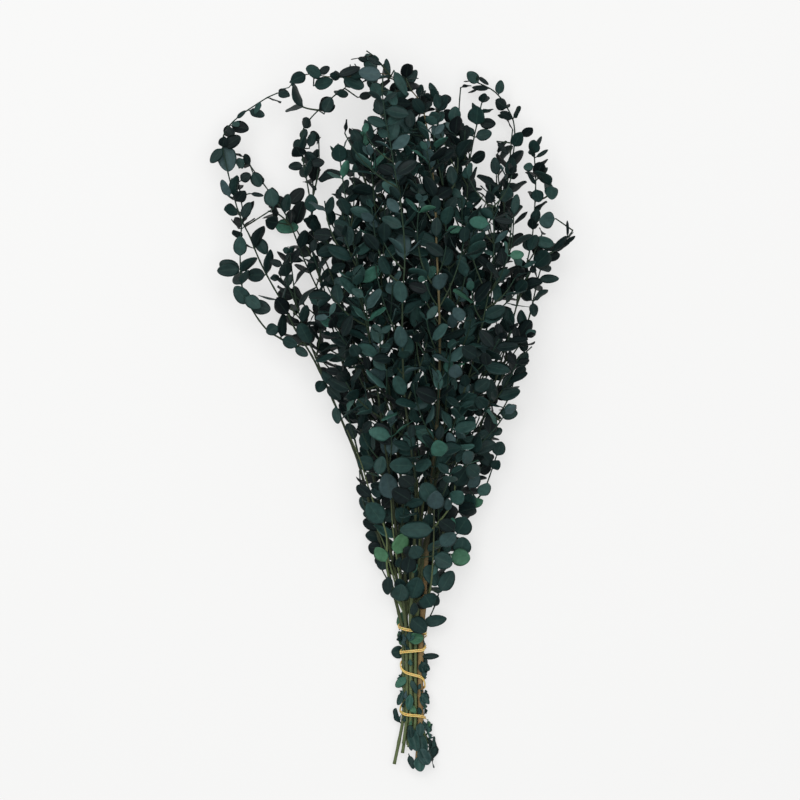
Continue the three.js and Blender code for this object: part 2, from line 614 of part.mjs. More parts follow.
// A shoot and its leaves as one skin: square rings along the shoot, and each leaf drawn out of the
// face between the two rings at its node
function shootSolid(shoot, leaves) {
  const vertices = [];
  const triangles = [];
  const push = (points) => points.map((point) => vertices.push(point) - 1);
  const strip = (a, b) => a.forEach((corner, j) => {
    const next = (j + 1) % a.length;
    triangles.push([corner, a[next], b[next]], [corner, b[next], b[j]]);
  });
  const ring = (i, offset) => {
    const frame = frameAt(shoot.path, i);
    const centre = add(shoot.path[i], frame.along, offset);
    return push([-45, 45, 135, 225].map((degrees) => {
      const angle = radians(shoot.turn + degrees);
      const spoke = add(frame.across.map((value) => value * Math.cos(angle)), frame.up, Math.sin(angle));
      return add(centre, spoke, radiusAt(shoot, i));
    }));
  };
  const drawLeaf = (leaf, root) => {
    const stations = leaf.length > SMALL_BLADE ? BLADE_STATIONS : SMALL_BLADE_STATIONS;
    const first = bladeCorners(leaf, stations[0]);
    const order = leastTwist(root.map((vertex) => vertices[vertex]), first);
    let from = push(first);
    strip(root, order.map((j) => from[j]));
    for (const share of stations.slice(1)) {
      const to = push(bladeCorners(leaf, share));
      strip(from, to);
      from = to;
    }
    const end = bladePoint(leaf, PETIOLE + leaf.length, 0);
    const [top, under] = push([1, -1].map((face) => add(end, leaf.normal, face * LEAF_THICKNESS / 2)));
    triangles.push([from[0], from[1], top], [from[1], from[2], under], [from[1], under, top],
      [from[2], from[3], under], [from[3], from[0], top], [from[3], top, under]);
  };
  let before = ring(0, 0);
  triangles.push([before[0], before[1], before[2]], [before[0], before[2], before[3]]);
  const joinTube = (after) => {
    for (let k = 0; k < 4; k += 1) {
      const next = (k + 1) % 4;
      triangles.push([before[k], after[k], after[next]], [before[k], after[next], before[next]]);
    }
    before = after;
  };
  const last = shoot.path.length - 1;
  for (const i of ringNodes(shoot).slice(1, -1)) {
    const pair = leaves.filter((leaf) => leaf.node === i);
    joinTube(ring(i, pair.length ? -LEAF_ROOT / 2 : 0));
    if (!pair.length) continue;
    const after = ring(i, LEAF_ROOT / 2);
    for (let k = 0; k < 4; k += 1) {
      const next = (k + 1) % 4;
      const leaf = pair.find((candidate) => candidate.face === k);
      if (leaf) drawLeaf(leaf, [before[k], after[k], after[next], before[next]]);
      else triangles.push([before[k], after[k], after[next]], [before[k], after[next], before[next]]);
    }
    before = after;
  }
  joinTube(ring(last, 0));
  triangles.push([before[0], before[2], before[1]], [before[0], before[3], before[2]]);
  return solidFrom(vertices, triangles);
}

// Directions round a closed loop that winds about the Y axis
function loopFrame(path, i) {
  const before = path[(i + path.length - 1) % path.length];
  const after = path[(i + 1) % path.length];
  const along = unit(minus(after, before));
  const outward = unit([path[i][0], 0, path[i][2] - BUNDLE_HEIGHT]);
  const up = unit(add(outward, along, -dot(outward, along)));
  return { along, across: cross(along, up), up };
}

// Centre of a modelled stem at y, on the straight run between two of its rings
function stemCentre(shoot, y) {
  const rings = ringNodes(shoot).map((i) => shoot.path[i]);
  const after = Math.max(1, rings.findIndex((point) => point[1] >= y));
  const [a, b] = [rings[after - 1], rings[after]];
  return add(a, minus(b, a), (y - a[1]) / (b[1] - a[1]));
}

// How far the stems reach from the bundle's middle, in a direction, within a strand's width of y
function bundleReach(stems, angle, y) {
  const reaches = stems.flatMap((shoot) => [-STRAND_RADIUS, 0, STRAND_RADIUS].map((offset) => {
    const centre = stemCentre(shoot, y + offset);
    return centre[0] * Math.cos(angle) + (centre[2] - BUNDLE_HEIGHT) * Math.sin(angle) + shoot.low;
  }));
  return Math.max(...reaches) + BAND_CLEARANCE + STRAND_RADIUS;
}

// A corner of the band round the bundle, where its two straight runs beside the angle meet
function bandCorner(stems, degrees, y) {
  const [a, b] = [radians(degrees - BAND_STEP / 2), radians(degrees + BAND_STEP / 2)];
  const [reachA, reachB] = [bundleReach(stems, a, y), bundleReach(stems, b, y)];
  const x = (reachA * Math.sin(b) - reachB * Math.sin(a)) / Math.sin(b - a);
  const z = (reachB * Math.cos(a) - reachA * Math.cos(b)) / Math.sin(b - a);
  return [x, y, BUNDLE_HEIGHT + z];
}

// Route of the doubled band: out along the turns with one strand, back with the other
function bandRoute(stems) {
  const last = BAND_TURNS.length - 1;
  const strand = (hand) => {
    const points = [];
    for (let degrees = BAND_TURNS[0][0]; degrees > BAND_TURNS[last][0]; degrees -= BAND_STEP) {
      const i = Math.max(1, BAND_TURNS.findIndex((turn) => turn[0] <= degrees));
      const [from, to] = [BAND_TURNS[i - 1], BAND_TURNS[i]];
      const share = (degrees - from[0]) / (to[0] - from[0]);
      const offset = hand * STRAND_PITCH / 2 * mix(from[2], to[2], share);
      points.push(bandCorner(stems, degrees, mix(from[1], to[1], share) + offset));
    }
    return points;
  };
  return strand(1).concat(strand(-1).reverse());
}

function meshFrom(solid, name, colour) {
  const { vertProperties, triVerts, numProp } = solid.getMesh();
  const geometry = new THREE.BufferGeometry();
  const positions = new Float32Array(triVerts.length * 3);
  triVerts.forEach((vertex, i) => {
    for (let k = 0; k < 3; k += 1) positions[i * 3 + k] = vertProperties[vertex * numProp + k];
  });
  geometry.setAttribute('position', new THREE.BufferAttribute(positions, 3));
  const merged = mergeVertices(geometry, 1e-4);
  merged.computeVertexNormals();
  const material = new THREE.MeshStandardMaterial({ color: colour, roughness: 0.75, metalness: 0 });
  const mesh = new THREE.Mesh(merged, material);
  mesh.name = name;
  return mesh;
}

const shoots = growShoots();
shoots.forEach(takeShoot);
const leaves = growLeaves(shoots);
const bunch = new THREE.Group();

STEMS.forEach((stem, i) => {
  const grown = shoots.filter((shoot) => shoot.stem === stem);
  const parts = grown.map((shoot) => shootSolid(shoot, leaves.filter((leaf) => leaf.shoot === shoot)));
  bunch.add(meshFrom(wasm.Manifold.union(parts), stem.name, LEAF_COLOURS[i % LEAF_COLOURS.length]));
});

const band = bandRoute(shoots.filter((shoot) => shoot.main));
bunch.add(meshFrom(tube(band, band.map(() => STRAND_RADIUS), 5, true), 'rubber_band', BAND_COLOUR));

// The origin is in the middle of the bunch, on the table
const box = new THREE.Box3().setFromObject(bunch);
const middle = box.getCenter(new THREE.Vector3());
bunch.position.set(-middle.x, -middle.y, -box.min.z);

export default bunch;
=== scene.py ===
"""A bunch of dried eucalyptus lying on a pale floor, seen from straight above.

Every leafy stem is grown again by the rule that made its solid, with all its leaves, finer blades
and bark. Routes and sizes are in millimetres in the bunch's own plan, where y runs from the cut
ends; TO_FRAME and MM bring them into the frame's metres.
"""
import itertools
import math

import bpy
import numpy as np
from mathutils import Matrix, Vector


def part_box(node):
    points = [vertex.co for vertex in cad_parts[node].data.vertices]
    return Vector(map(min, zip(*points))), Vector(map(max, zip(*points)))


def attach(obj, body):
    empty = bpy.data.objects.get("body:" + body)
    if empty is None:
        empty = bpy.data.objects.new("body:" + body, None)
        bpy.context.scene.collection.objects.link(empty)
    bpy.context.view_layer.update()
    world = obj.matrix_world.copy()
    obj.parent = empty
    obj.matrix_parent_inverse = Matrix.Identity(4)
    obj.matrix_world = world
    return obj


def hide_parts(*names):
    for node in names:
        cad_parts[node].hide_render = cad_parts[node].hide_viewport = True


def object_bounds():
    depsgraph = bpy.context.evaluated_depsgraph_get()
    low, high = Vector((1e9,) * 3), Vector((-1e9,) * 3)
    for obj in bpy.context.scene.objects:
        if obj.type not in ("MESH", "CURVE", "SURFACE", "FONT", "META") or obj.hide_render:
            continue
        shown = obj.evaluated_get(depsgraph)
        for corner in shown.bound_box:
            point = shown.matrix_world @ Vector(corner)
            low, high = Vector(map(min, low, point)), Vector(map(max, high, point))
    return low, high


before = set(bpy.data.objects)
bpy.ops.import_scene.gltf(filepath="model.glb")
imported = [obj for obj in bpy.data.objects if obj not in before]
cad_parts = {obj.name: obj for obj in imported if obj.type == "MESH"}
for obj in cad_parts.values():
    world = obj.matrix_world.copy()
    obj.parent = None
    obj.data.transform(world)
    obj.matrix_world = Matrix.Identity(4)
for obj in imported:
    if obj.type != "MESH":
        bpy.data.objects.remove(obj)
cad_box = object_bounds()
MM = 0.001
TOP_CLEAR = 0.5
CEILING = cad_box[1][2] / MM - TOP_CLEAR

# The photo's frame: 800 pixels at 0.9 mm, with the cut ends near its lower edge
PIXEL = 0.9
FRAME_PIXELS = 800
TIE_PIXEL_X, FOOT_PIXEL_Y = 412.5, 773
MIDDLE_X = (FRAME_PIXELS / 2 - TIE_PIXEL_X) * PIXEL
MIDDLE_Y = (FOOT_PIXEL_Y - FRAME_PIXELS / 2) * PIXEL
CAMERA_HEIGHT = 2600
PLAN_HEIGHT = 50
SENSOR_WIDTH = 36

# Floor and light, in metres and watts
FLOOR_SIZE = 30
OVERHEAD_PLACE, OVERHEAD_SIZE, OVERHEAD_POWER = (0, 0.3, 3.3), 3.0, 105
KEY_PLACE, KEY_SIZE, KEY_POWER = (-1.1, 1.5, 2.6), 1.6, 20
WORLD_STRENGTH = 0.36

# Random numbers, and the seeds and owner numbers of each kind of leaf
RANDOM_PRIME, RANDOM_FACTOR = 2147483647, 16807
SEED_FACTOR, SEED_OFFSET = 7919, 12345
PAIR_SEEDS, PAIR_OWNERS = 101, 1000
TWIG_SEEDS, TWIG_NODE_SEEDS, TWIG_AGAIN_SEEDS, TWIG_FIRST_SEED = 211, 7, 97, 5
TRACED_TIED_SEEDS, TIED_SEEDS, COLLAR_SEEDS, WOOD_SEEDS = 8000, 9000, 17000, 77
TIED_OWNERS, TRACED_TIED_OWNERS, COLLAR_OWNERS = 700000, 705000, 800000
TRACED_OWNERS, FILL_OWNERS = 900000, 1000000

# Bundle, where the band holds the stems
BUNDLE_HEIGHT = 8.16
STEM_RADIUS = 1.65
WOODY_RADIUS = 2.9
TIP_RADIUS = 0.65
SHOOT_RADIUS = 0.95
SLOT_SCALE = 0.93
BAND_SHARE = 0.18
THINNING, WOODY_THINNING = 2.2, 2
FAN_START, FAN_TOP = 112, 430
RESTING_HEIGHT, LYING_FROM = 1, 0.7
# y over the cut ends, and how far the stems stand apart there
TIED_ROUTE = ((46, 1.04), (76, 1), (104, 1.06), (130, 1.22))

# Leaves
LEAF_LENGTH = 25
LEAF_WIDTH_SHARE = 0.64
SLENDER = 0.38
LEAF_THICKNESS = 0.7
LOWEST_LEAF = LEAF_THICKNESS / 2 + 0.2
PETIOLE = 1.6
RAISED_LENGTH = 2.5
# A blade's width follows a sine, to this power, over this share of its half turn
ROUNDNESS = 0.6
SINE_SHARE, SINE_START = 0.93, 0.07
PRESSED = 16
TURNED_TO_LIGHT, LIGHT_EASE = 0.8, 0.05
RESTING_SPREAD = 1.6
FIRST_LEAVES = 128
INTERNODES = (21, 10)
SHOOT_INTERNODES = (15, 9)
OPEN_STEP, DENSE_STEP, OPEN_FROM, BARE_STEP = 2, 3, 0.62, 2

# Pairs: ranges of width, curl and length, then of spread, roll and turn in degrees
PAIR_WIDTHS, PAIR_CURLS, PAIR_LENGTHS = (0.86, 1.1), (-0.16, 0.1), (0.8, 1.1)
PAIR_SPREADS, PAIR_ROLLS, PAIR_TURNS = (36, 70), (-48, 48), (-12, 12)
PAIR_SCALES = (1, 0.82)
SHOOT_TURNS = (-30, 30)
# Leaves shrink up the bunch, and towards the tip of their shoot
SIZE_HEIGHTS, SIZES = (150, 420), (1.04, 0.92)
SHOOT_TAPER, TAPER_POWER = 0.45, 5
# Other turns and twists that a leaf tries, when another is in its way
ASIDE = [(0, 0), (20, 25), (-20, -25), (30, 55), (-30, -55), (0, 80), (0, -80), (32, -20), (-32, 20)]

# Crumpled leaves in and round the band
TIED_FROM, TIED_TO = 12, 136
TIED_TRIES, HANGING_TRIES = 1500, 60
HANGING_FROM, HANGING_TO = 26, 50
HANGING_ANGLES = (20, 160)
TIED_LENGTHS, HANGING_LENGTHS = (5, 15), (15, 22)
TIED_WIDTHS, TIED_CURLS = (0.3, 0.6), (-0.02, 0.12)
TIED_TILTS, TIED_TONES = (-32, 32), (0.35, 1)
TIED_TONE_POWER = 0.7
BACKWARD_ABOVE = 0.6
TIED_ROOT_SAMPLES = 2
BARE_BELOW, BARE_LEFT = 41, -6
TIED_LIFT = 0.45
TIED_LAYERS = 5
LOWEST_ROOT = 8
BAND_GAP = 1.05

# Large leaves round the narrow part above the band
COLLAR_FROM, COLLAR_TO = 134, 320
COLLAR_TRIES = 1300
COLLAR_WIDTHS, COLLAR_CURLS, COLLAR_LENGTHS = (0.95, 1.3), (-0.12, 0.1), (0.75, 1.1)
COLLAR_SPREADS, COLLAR_ROLLS = (30, 66), (-40, 40)
COLLAR_SCALES = (1, 0.8)
COLLAR_FORWARD_TO = 165
COLLAR_LOW_POWER, COLLAR_TONE_POWER = 1.5, 0.75

# Fine blades: rows of the petiole, then shares of the leaf's length, and columns across it
PETIOLE_ROWS = (0.0, 0.55, 1.0)
BLADE_ROWS = (0.05, 0.13, 0.25, 0.4, 0.56, 0.72, 0.86, 0.945, 0.985, 1.0)
BLADE_COLUMNS = (-1, -0.68, -0.32, 0, 0.32, 0.68, 1)
PETIOLE_HALF, PETIOLE_HALF_THICKNESS = 0.5, 0.42
TIP_HALF = 0.12
BLADE_HALF_THICKNESS, BLADE_LOW_THICKNESS = 0.17, 0.4
BLADE_ROUNDNESS = 0.52
CUPS, WAVES, FULL_TURN = (0.02, 0.3), (0.2, 0.9), 6.28
CRUMPLED_CUPS, CRUMPLED_WAVES = (0.1, 1.1), (0.8, 2)
WAVES_ALONG, OTHER_SIDE, MIDRIB_DEPTH = 7.5, 1.7, 0.16
CUP_AT_MIDRIB, CUP_AT_EDGE = 0.35, 0.65
FINE_HEIGHTS, FINE_WIDTHS = (150, 400), (1.2, 1.04)
NARROW_TO, NARROW_POWER, THICK_TO, LEAST_HALF = 0.16, 0.6, 0.2, 0.9

# Drawn tones: powers of the draw by the distance from the outline, which paint shade on the leaves
# near the outline, and by y; and shares by the height in the bunch, which paint shade on the low
# leaves; its front is this high at the fan's start and top
PALEST_TONE, TOP_SHARE, FRONT_TOPS = 0.94, 1.4, (16, 112)
TONE_INWARD, OUTLINE_SHADE_POWERS = (12, 55), (1.45, 0.95)
TONE_HEIGHTS, HEIGHT_POWERS = (280, 370), (0.72, 1)
PAINTED_SHADE_DEPTHS, PAINTED_SHADE_SHARES = (0.25, 0.8), (0.3, 1)

# Veins of a leaf: their number, slant and sharpness; half width of its rib, and where the painted highlight
# along its edge starts
VEINS, VEIN_SLANT, VEIN_POWER = 58.0, -22.0, 6.0
RIB_HALF, HIGHLIGHT_RIM_FROM = 0.045, 0.94

# Bark
WOOD_PARTS = 4
STEM_SIDES, TWIG_SIDES = 10, 6
NODE_SWELL = 1.16
WOOD_SLIM, WOODY_SLIM, WOODY_SLIM_FROM = 0.9, 0.68, (120, 180)
FRONT_ALONG = 0.3

# Leaves traced from the photo: middle of the blade in its pixels, direction of the tip in degrees,
# length and width in millimetres, and tone
LEFT_STRAND_LEAVES = [
    (224, 134, 45, 13, 9, 0.1), (233, 141, -30, 12, 9, 0.12), (216, 152, -95, 17, 9, 0.4),
    (227, 158, -80, 24, 17, 0.78), (243, 161, 60, 12, 10, 0.7), (243, 190, 20, 18, 11, 0.1),
    (258, 195, -10, 12, 4, 0.2), (246, 177, 30, 11, 9, 0.2), (226, 187, 115, 18, 8, 0.8),
    (231, 212, 180, 16, 12, 0.4), (246, 211, 60, 16, 9, 0.3), (269, 222, 170, 16, 13, 0.15),
    (286, 227, -5, 22, 14, 0.93), (272, 198, 100, 17, 14, 0.6), (286, 208, 75, 17, 10, 0.35),
    (258, 181, -60, 14, 11, 0.45), (257, 108, -100, 14, 5, 0.7), (238, 115, 5, 11, 4, 0.3),
    (235, 125, -30, 10, 7, 0.7), (228, 271, 180, 20, 12, 0.35), (241, 294, 130, 20, 13, 0.5),
    (254, 303, -35, 17, 12, 0.6), (272, 330, -150, 12, 11, 0.4), (241, 245, 95, 18, 12, 0.6),
    (303, 353, -30, 14, 8, 0.45), (322, 384, -120, 13, 10, 0.35), (338, 412, -100, 16, 8, 0.5),
]
MIDDLE_STRAND_LEAVES = [
    (311, 200, 85, 18, 12, 0.55), (295, 167, 180, 13, 8, 0.15), (318, 163, 0, 13, 9, 0.12),
    (299, 148, 150, 14, 13, 0.08), (312, 138, 70, 14, 8, 0.35), (304, 133, 60, 10, 7, 0.4),
    (328, 106, 70, 15, 11, 0.35), (300, 80, 190, 17, 11, 0.35), (311, 71, 175, 20, 12, 0.62),
    (326, 83, 5, 20, 11, 0.5), (324, 70, 30, 11, 7, 0.1), (350, 72, 20, 21, 8, 0.08),
    (295, 100, -20, 13, 8, 0.3), (366, 96, 10, 12, 7, 0.12), (370, 74, 170, 20, 13, 0.8),
    (352, 134, 100, 16, 10, 0.35), (340, 159, 95, 21, 14, 0.45), (368, 139, 80, 17, 13, 0.93),
    (355, 160, -100, 15, 14, 0.1), (387, 67, 95, 17, 6, 0.5), (411, 78, 52, 20, 9, 0.35),
    (370, 56, 120, 11, 4, 0.5), (362, 59, 180, 9, 5, 0.2), (376, 63, -25, 14, 5, 0.2),
    (351, 83, 60, 15, 12, 0.3), (377, 91, -60, 15, 11, 0.7), (392, 98, -65, 15, 9, 0.85),
    (402, 86, -60, 25, 9, 0.6), (382, 104, 165, 16, 7, 0.5), (382, 111, 175, 18, 9, 0.45),
    (411, 102, -25, 20, 10, 0.15), (401, 113, -20, 20, 12, 0.4),
]
RIGHT_ARC_LEAVES = [
    (472, 77, 140, 14, 10, 0.6), (478, 89, 180, 18, 5, 0.08), (499, 89, 75, 13, 8, 0.5),
    (484, 82, -35, 12, 4, 0.1), (477, 114, 80, 18, 16, 0.45), (490, 120, -40, 15, 10, 0.08),
    (508, 117, 165, 14, 8, 0.1), (521, 131, 65, 19, 11, 0.42), (503, 149, -50, 15, 5, 0.08),
    (496, 163, 110, 16, 9, 0.35), (505, 185, 85, 19, 13, 0.72), (510, 165, 80, 18, 11, 0.3),
    (513, 204, 60, 18, 8, 0.5), (486, 186, 130, 14, 9, 0.1), (486, 199, 10, 16, 12, 0.3),
    (474, 190, 5, 12, 4, 0.1), (508, 219, -40, 17, 6, 0.08), (531, 147, 105, 13, 4, 0.2),
    (537, 147, 75, 13, 4, 0.2), (543, 152, 30, 13, 4, 0.25), (534, 163, -90, 9, 8, 0.7),
    (528, 173, 130, 15, 4, 0.15), (542, 174, 50, 15, 5, 0.3), (538, 201, -80, 18, 11, 0.4),
    (552, 193, -100, 19, 12, 0.62), (545, 220, -170, 17, 15, 0.75), (533, 222, 100, 14, 9, 0.1),
    (547, 243, -5, 19, 11, 0.7), (447, 99, 80, 17, 10, 0.3), (453, 112, 60, 15, 11, 0.6),
    (437, 101, 100, 14, 8, 0.4), (433, 92, 95, 12, 6, 0.4), (441, 105, 70, 12, 9, 0.12),
]
NARROW_PART_LEAVES = [
    (402, 545, 95, 20, 14, 1.0), (379, 554, 100, 16, 11, 0.98), (462, 545, 80, 17, 15, 0.62),
    (461, 557, -10, 18, 14, 0.96), (423, 554, 10, 18, 14, 0.6), (403, 590, 95, 24, 15, 0.66),
    (415, 589, 75, 24, 15, 0.58), (390, 487, 110, 24, 16, 0.8), (407, 488, 60, 16, 13, 0.72),
    (424, 490, 100, 20, 15, 0.6), (437, 487, 80, 25, 14, 0.8), (375, 511, 130, 26, 16, 0.66),
    (419, 530, 178, 30, 14, 0.6), (366, 463, 160, 16, 13, 0.5), (398, 469, 165, 20, 7, 0.45),
    (463, 523, 60, 20, 17, 0.5), (452, 522, 80, 11, 6, 0.92), (473, 479, 70, 17, 13, 0.78),
    (485, 490, 80, 16, 11, 0.85), (478, 505, 60, 14, 8, 0.95), (430, 603, -60, 17, 15, 0.45),
    (432, 620, 5, 22, 9, 0.55), (425, 632, -20, 20, 13, 0.4), (402, 620, 75, 16, 8, 0.97),
    (390, 593, -100, 18, 9, 0.25), (380, 565, -60, 12, 10, 0.3), (362, 491, 120, 16, 10, 0.12),
    (446, 561, -30, 18, 14, 0.55), (447, 580, 60, 22, 12, 0.5), (371, 548, 150, 12, 11, 0.1),
    (510, 414, 10, 16, 11, 0.5), (498, 448, 60, 14, 11, 0.45), (495, 463, 40, 14, 9, 0.4),
    (366, 514, 170, 12, 9, 0.4), (469, 500, 50, 18, 13, 0.5),
    (397, 652, 180, 12, 10, 0.45), (435, 653, -25, 16, 5, 0.25), (397, 683, -110, 13, 7, 0.93),
]
# Leaves pressed on the tied stems and hanging at their cut ends, traced in the same way
TIED_LEAVES = [
    (405, 620, -85, 17, 7, 0.97), (424, 645, 60, 16, 12, 0.45), (413, 638, 5, 15, 9, 0.95),
    (421, 618, 10, 22, 11, 0.5), (411, 673, -70, 13, 7, 0.55), (419, 686, 10, 13, 6, 0.6),
    (405, 663, -95, 12, 6, 0.3), (423, 668, -95, 9, 6, 0.3), (408, 702, -80, 14, 6, 0.85),
    (400, 697, -85, 11, 4, 0.55), (404, 712, -95, 11, 5, 0.8), (425, 714, 80, 9, 6, 1.0),
    (423, 701, -85, 10, 4, 0.6), (412, 722, -80, 15, 6, 0.5), (409, 742, -97, 24, 8, 0.45),
    (416, 740, -88, 22, 9, 0.6), (422, 745, -80, 22, 9, 0.5), (417, 753, -60, 16, 6, 0.75),
    (426, 757, -70, 17, 10, 0.65), (420, 764, -88, 14, 9, 0.8), (428, 767, -35, 11, 6, 0.9),
    (423, 770, -100, 9, 6, 0.9), (411, 731, -90, 12, 5, 0.3), (419, 729, -75, 12, 7, 0.62),
    (399, 668, -90, 12, 5, 0.3), (398, 700, -85, 12, 5, 0.5), (429, 684, -85, 14, 5, 0.3),
    (430, 668, -80, 10, 5, 0.35), (429, 700, -90, 12, 5, 0.55),
]
CROWN_LEAVES = [
    (355, 87, 0, 20, 13, 0.5), (379, 105, 100, 15, 10, 0.3), (410, 118, 90, 17, 10, 0.3),
    (450, 176, 80, 17, 10, 0.4), (437, 200, 100, 16, 9, 0.3), (453, 203, 60, 16, 10, 0.3),
    (437, 224, 95, 17, 10, 0.3), (495, 312, 30, 20, 13, 0.4), (508, 320, 80, 18, 11, 0.4),
    (266, 308, -20, 18, 13, 0.3), (290, 341, -30, 15, 11, 0.4), (485, 386, 60, 17, 12, 0.4),
    (463, 377, 80, 16, 9, 0.3), (307, 308, 90, 18, 9, 0.3), (343, 266, 20, 17, 9, 0.3),
    (330, 380, -60, 18, 9, 0.4), (338, 395, -60, 17, 9, 0.3), (527, 356, 80, 18, 10, 0.4),
    (546, 279, 0, 18, 8, 0.35), (534, 312, -90, 13, 8, 0.3), (521, 317, 85, 17, 9, 0.35),
    (261, 246, -60, 17, 11, 0.4), (335, 200, 95, 18, 8, 0.3), (403, 244, 92, 24, 15, 0.78),
    (399, 290, 95, 22, 13, 0.72), (400, 337, 92, 22, 12, 0.75), (398, 388, 95, 21, 12, 0.7),
    (408, 438, 100, 19, 11, 0.72), (345, 283, -25, 17, 9, 0.82), (362, 215, 130, 16, 9, 0.8),
    (456, 229, 10, 14, 8, 0.93), (451, 313, 85, 18, 9, 0.8),
]
TRACED_LEAVES = (LEFT_STRAND_LEAVES + MIDDLE_STRAND_LEAVES + RIGHT_ARC_LEAVES + NARROW_PART_LEAVES
                 + CROWN_LEAVES)
TRACED_TILTS = (12, 28, 44, 0, -14)
TRACED_ROLLS = (0, 18, -18)
TRACED_LIFT, TRACED_CURL = 1.3, 0.03
# Weight of a traced leaf's own direction against the way from its root to its middle
OWN_WAY = 0.3
ROOT_SHARES = (0, 0.35, 0.7)
ROOTS_TRIED = 16
HEIGHT_FAVOUR = 0.12
LOW_FAVOUR = 0.3
STALK_FROM = 9
LONGEST_STALK = 42
STALK_RISES = (0, 7, 14, -7, -14)
STALK_PARTS, STALK_STEP = 3, 3

# Thin stems in front of the narrow part, traced from the photo in its pixels from base to tip
FRONT_STEMS = [
    [(394, 612), (388, 575), (386, 533), (372, 498), (360, 460), (347, 430)],
    [(400, 612), (392, 572), (384, 544), (374, 523)],
    [(409, 626), (408, 602), (410, 575), (410, 551)],
    [(421, 600), (420, 579), (419, 521), (417, 477), (415, 451)],
    [(429, 610), (430, 591), (433, 560), (434, 523), (434, 500)],
    [(446, 545), (452, 502), (456, 453)],
    [(398, 600), (397, 560), (393, 530), (391, 500)],
]
FRONT_RADIUS = 1
# Height of the bunch's front at y, and the shares of it that they are tried at
FRONT_HEIGHTS = [(20, 130), (42, 200), (66, 300), (84, 400)]
FRONT_SHARES = (1, 1.1, 1.2, 0.9, 0.8, 1.3, 0.7, 0.6, 0.5)
FRONT_REACH, FRONT_STARTS = 45, 12
# Space over a traced leaf or stem that later leaves keep out of, so that it stays in sight
KEPT_CLEAR = range(3, 26, 2)
CLEAR_PARTS = 6

# Leaves that fill what still shows the floor, between two lines of the plan (x, y)
COVER_PIXELS, COVER_PARTS = 2, 8
FILL_FROM, FILL_TO = 150, 605
FILL_LEFT = [(-10, 150), (-36, 300), (-60, 380), (-75, 430), (-62, 500), (-42, 550), (-20, 590),
             (0, 620)]
FILL_RIGHT = [(20, 150), (57, 300), (66, 380), (70, 430), (62, 500), (50, 560), (20, 610), (10, 630)]
FILL_LENGTHS = (15, 22)
# Their sizes, shares of width and turns in degrees: slim ones where there's no room for wide ones
FILL_FORMS = ((1, 0.68, 60), (0.8, 0.4, 25), (0.7, 0.25, 12))

# Twigs, which fill the bunch inside the solids' outline
TWIG_RADIUS = 0.75
TWIG_MARGINS, TWIG_MARGIN_HEIGHTS = (1, 7), (180, 300)
TWIG_TOP = 632
TWIG_FLOOR, TWIG_CEILING = 3, 116
FIRST_TWIGS = 105
TWIG_LEANS, TWIG_STEPS, TWIG_SPACINGS = (30, 52), (4, 8.99), (9.5, 12.5)
TWIG_BEND = 0.75
SHORTEST_TWIG = 3
TWIG_SAMPLES = 6
# Turns in degrees that a twig tries, and how many steps it is then shorter
TWIG_TURNS = ((0, 0), (140, 0), (260, 0), (70, 2), (200, 2))
# Twigs tried at a node, by its distance from the outline
TRIES_INWARD, TRIES = (10, 45), (2, 5)
# Gaps of the crown that stay open: middle x, y and half their width and height
OPEN_GAPS = [(-128, 558, 25, 52), (-72, 572, 11, 36), (-77, 522, 6, 26), (-49, 600, 16, 15),
             (33, 621, 8, 21), (65, 562, 11, 34), (102, 562, 7, 34), (97, 504, 7, 24),
             (128, 494, 7, 12), (120, 458, 9, 7), (-128, 484, 20, 10), (-130, 436, 6, 7),
             (-96, 451, 9, 7), (-66, 452, 7, 6), (96, 545, 4, 8), (83, 581, 5, 7), (-93, 601, 6, 10),
             (51, 603, 7, 8), (-99, 513, 7, 9), (-72, 536, 7, 6), (96, 474, 6, 6)]
OPEN_SIDE = -95

# Rubber band
STRAND_RADIUS = 0.6
BAND_CLEARANCE = 0.3
STRAND_PITCH = 1.4
BAND_STEP = 30
BAND_OWNER = -5000
BAND_SIDES, SMOOTH_BAND_SIDES, SMOOTH_BAND_PARTS = 5, 10, 5
BAND_SPACE_PARTS, BAND_GAP_PARTS = 8, 14

# Cells of space that keep leaves and stems apart
CELL = 1.6
CELLS_ACROSS = 1024
CELL_STRIDES = np.array((CELLS_ACROSS ** 2, CELLS_ACROSS, 1))
SAMPLE = 2
NEAR_ROOT = 7
THICK_SHOOT = 1.2
OWN_STEM_CLEAR = 1.2
OWN_STEM_GAP = 0.9
NODES_BEFORE, NODES_AFTER = 3, 5
FLOOR_GAP = 0.05


def shoot_of(route, rise, rests=False, slender=False):
    return {"route": route, "rise": rise, "rests": rests, "slender": slender}


def stem_of(name, slot, cut, heights, route, shoots, radius=STEM_RADIUS, taper=SHOOT_TAPER):
    return {"name": name, "slot": slot, "cut": cut, "heights": heights, "route": route,
            "shoots": shoots, "radius": radius, "taper": taper}


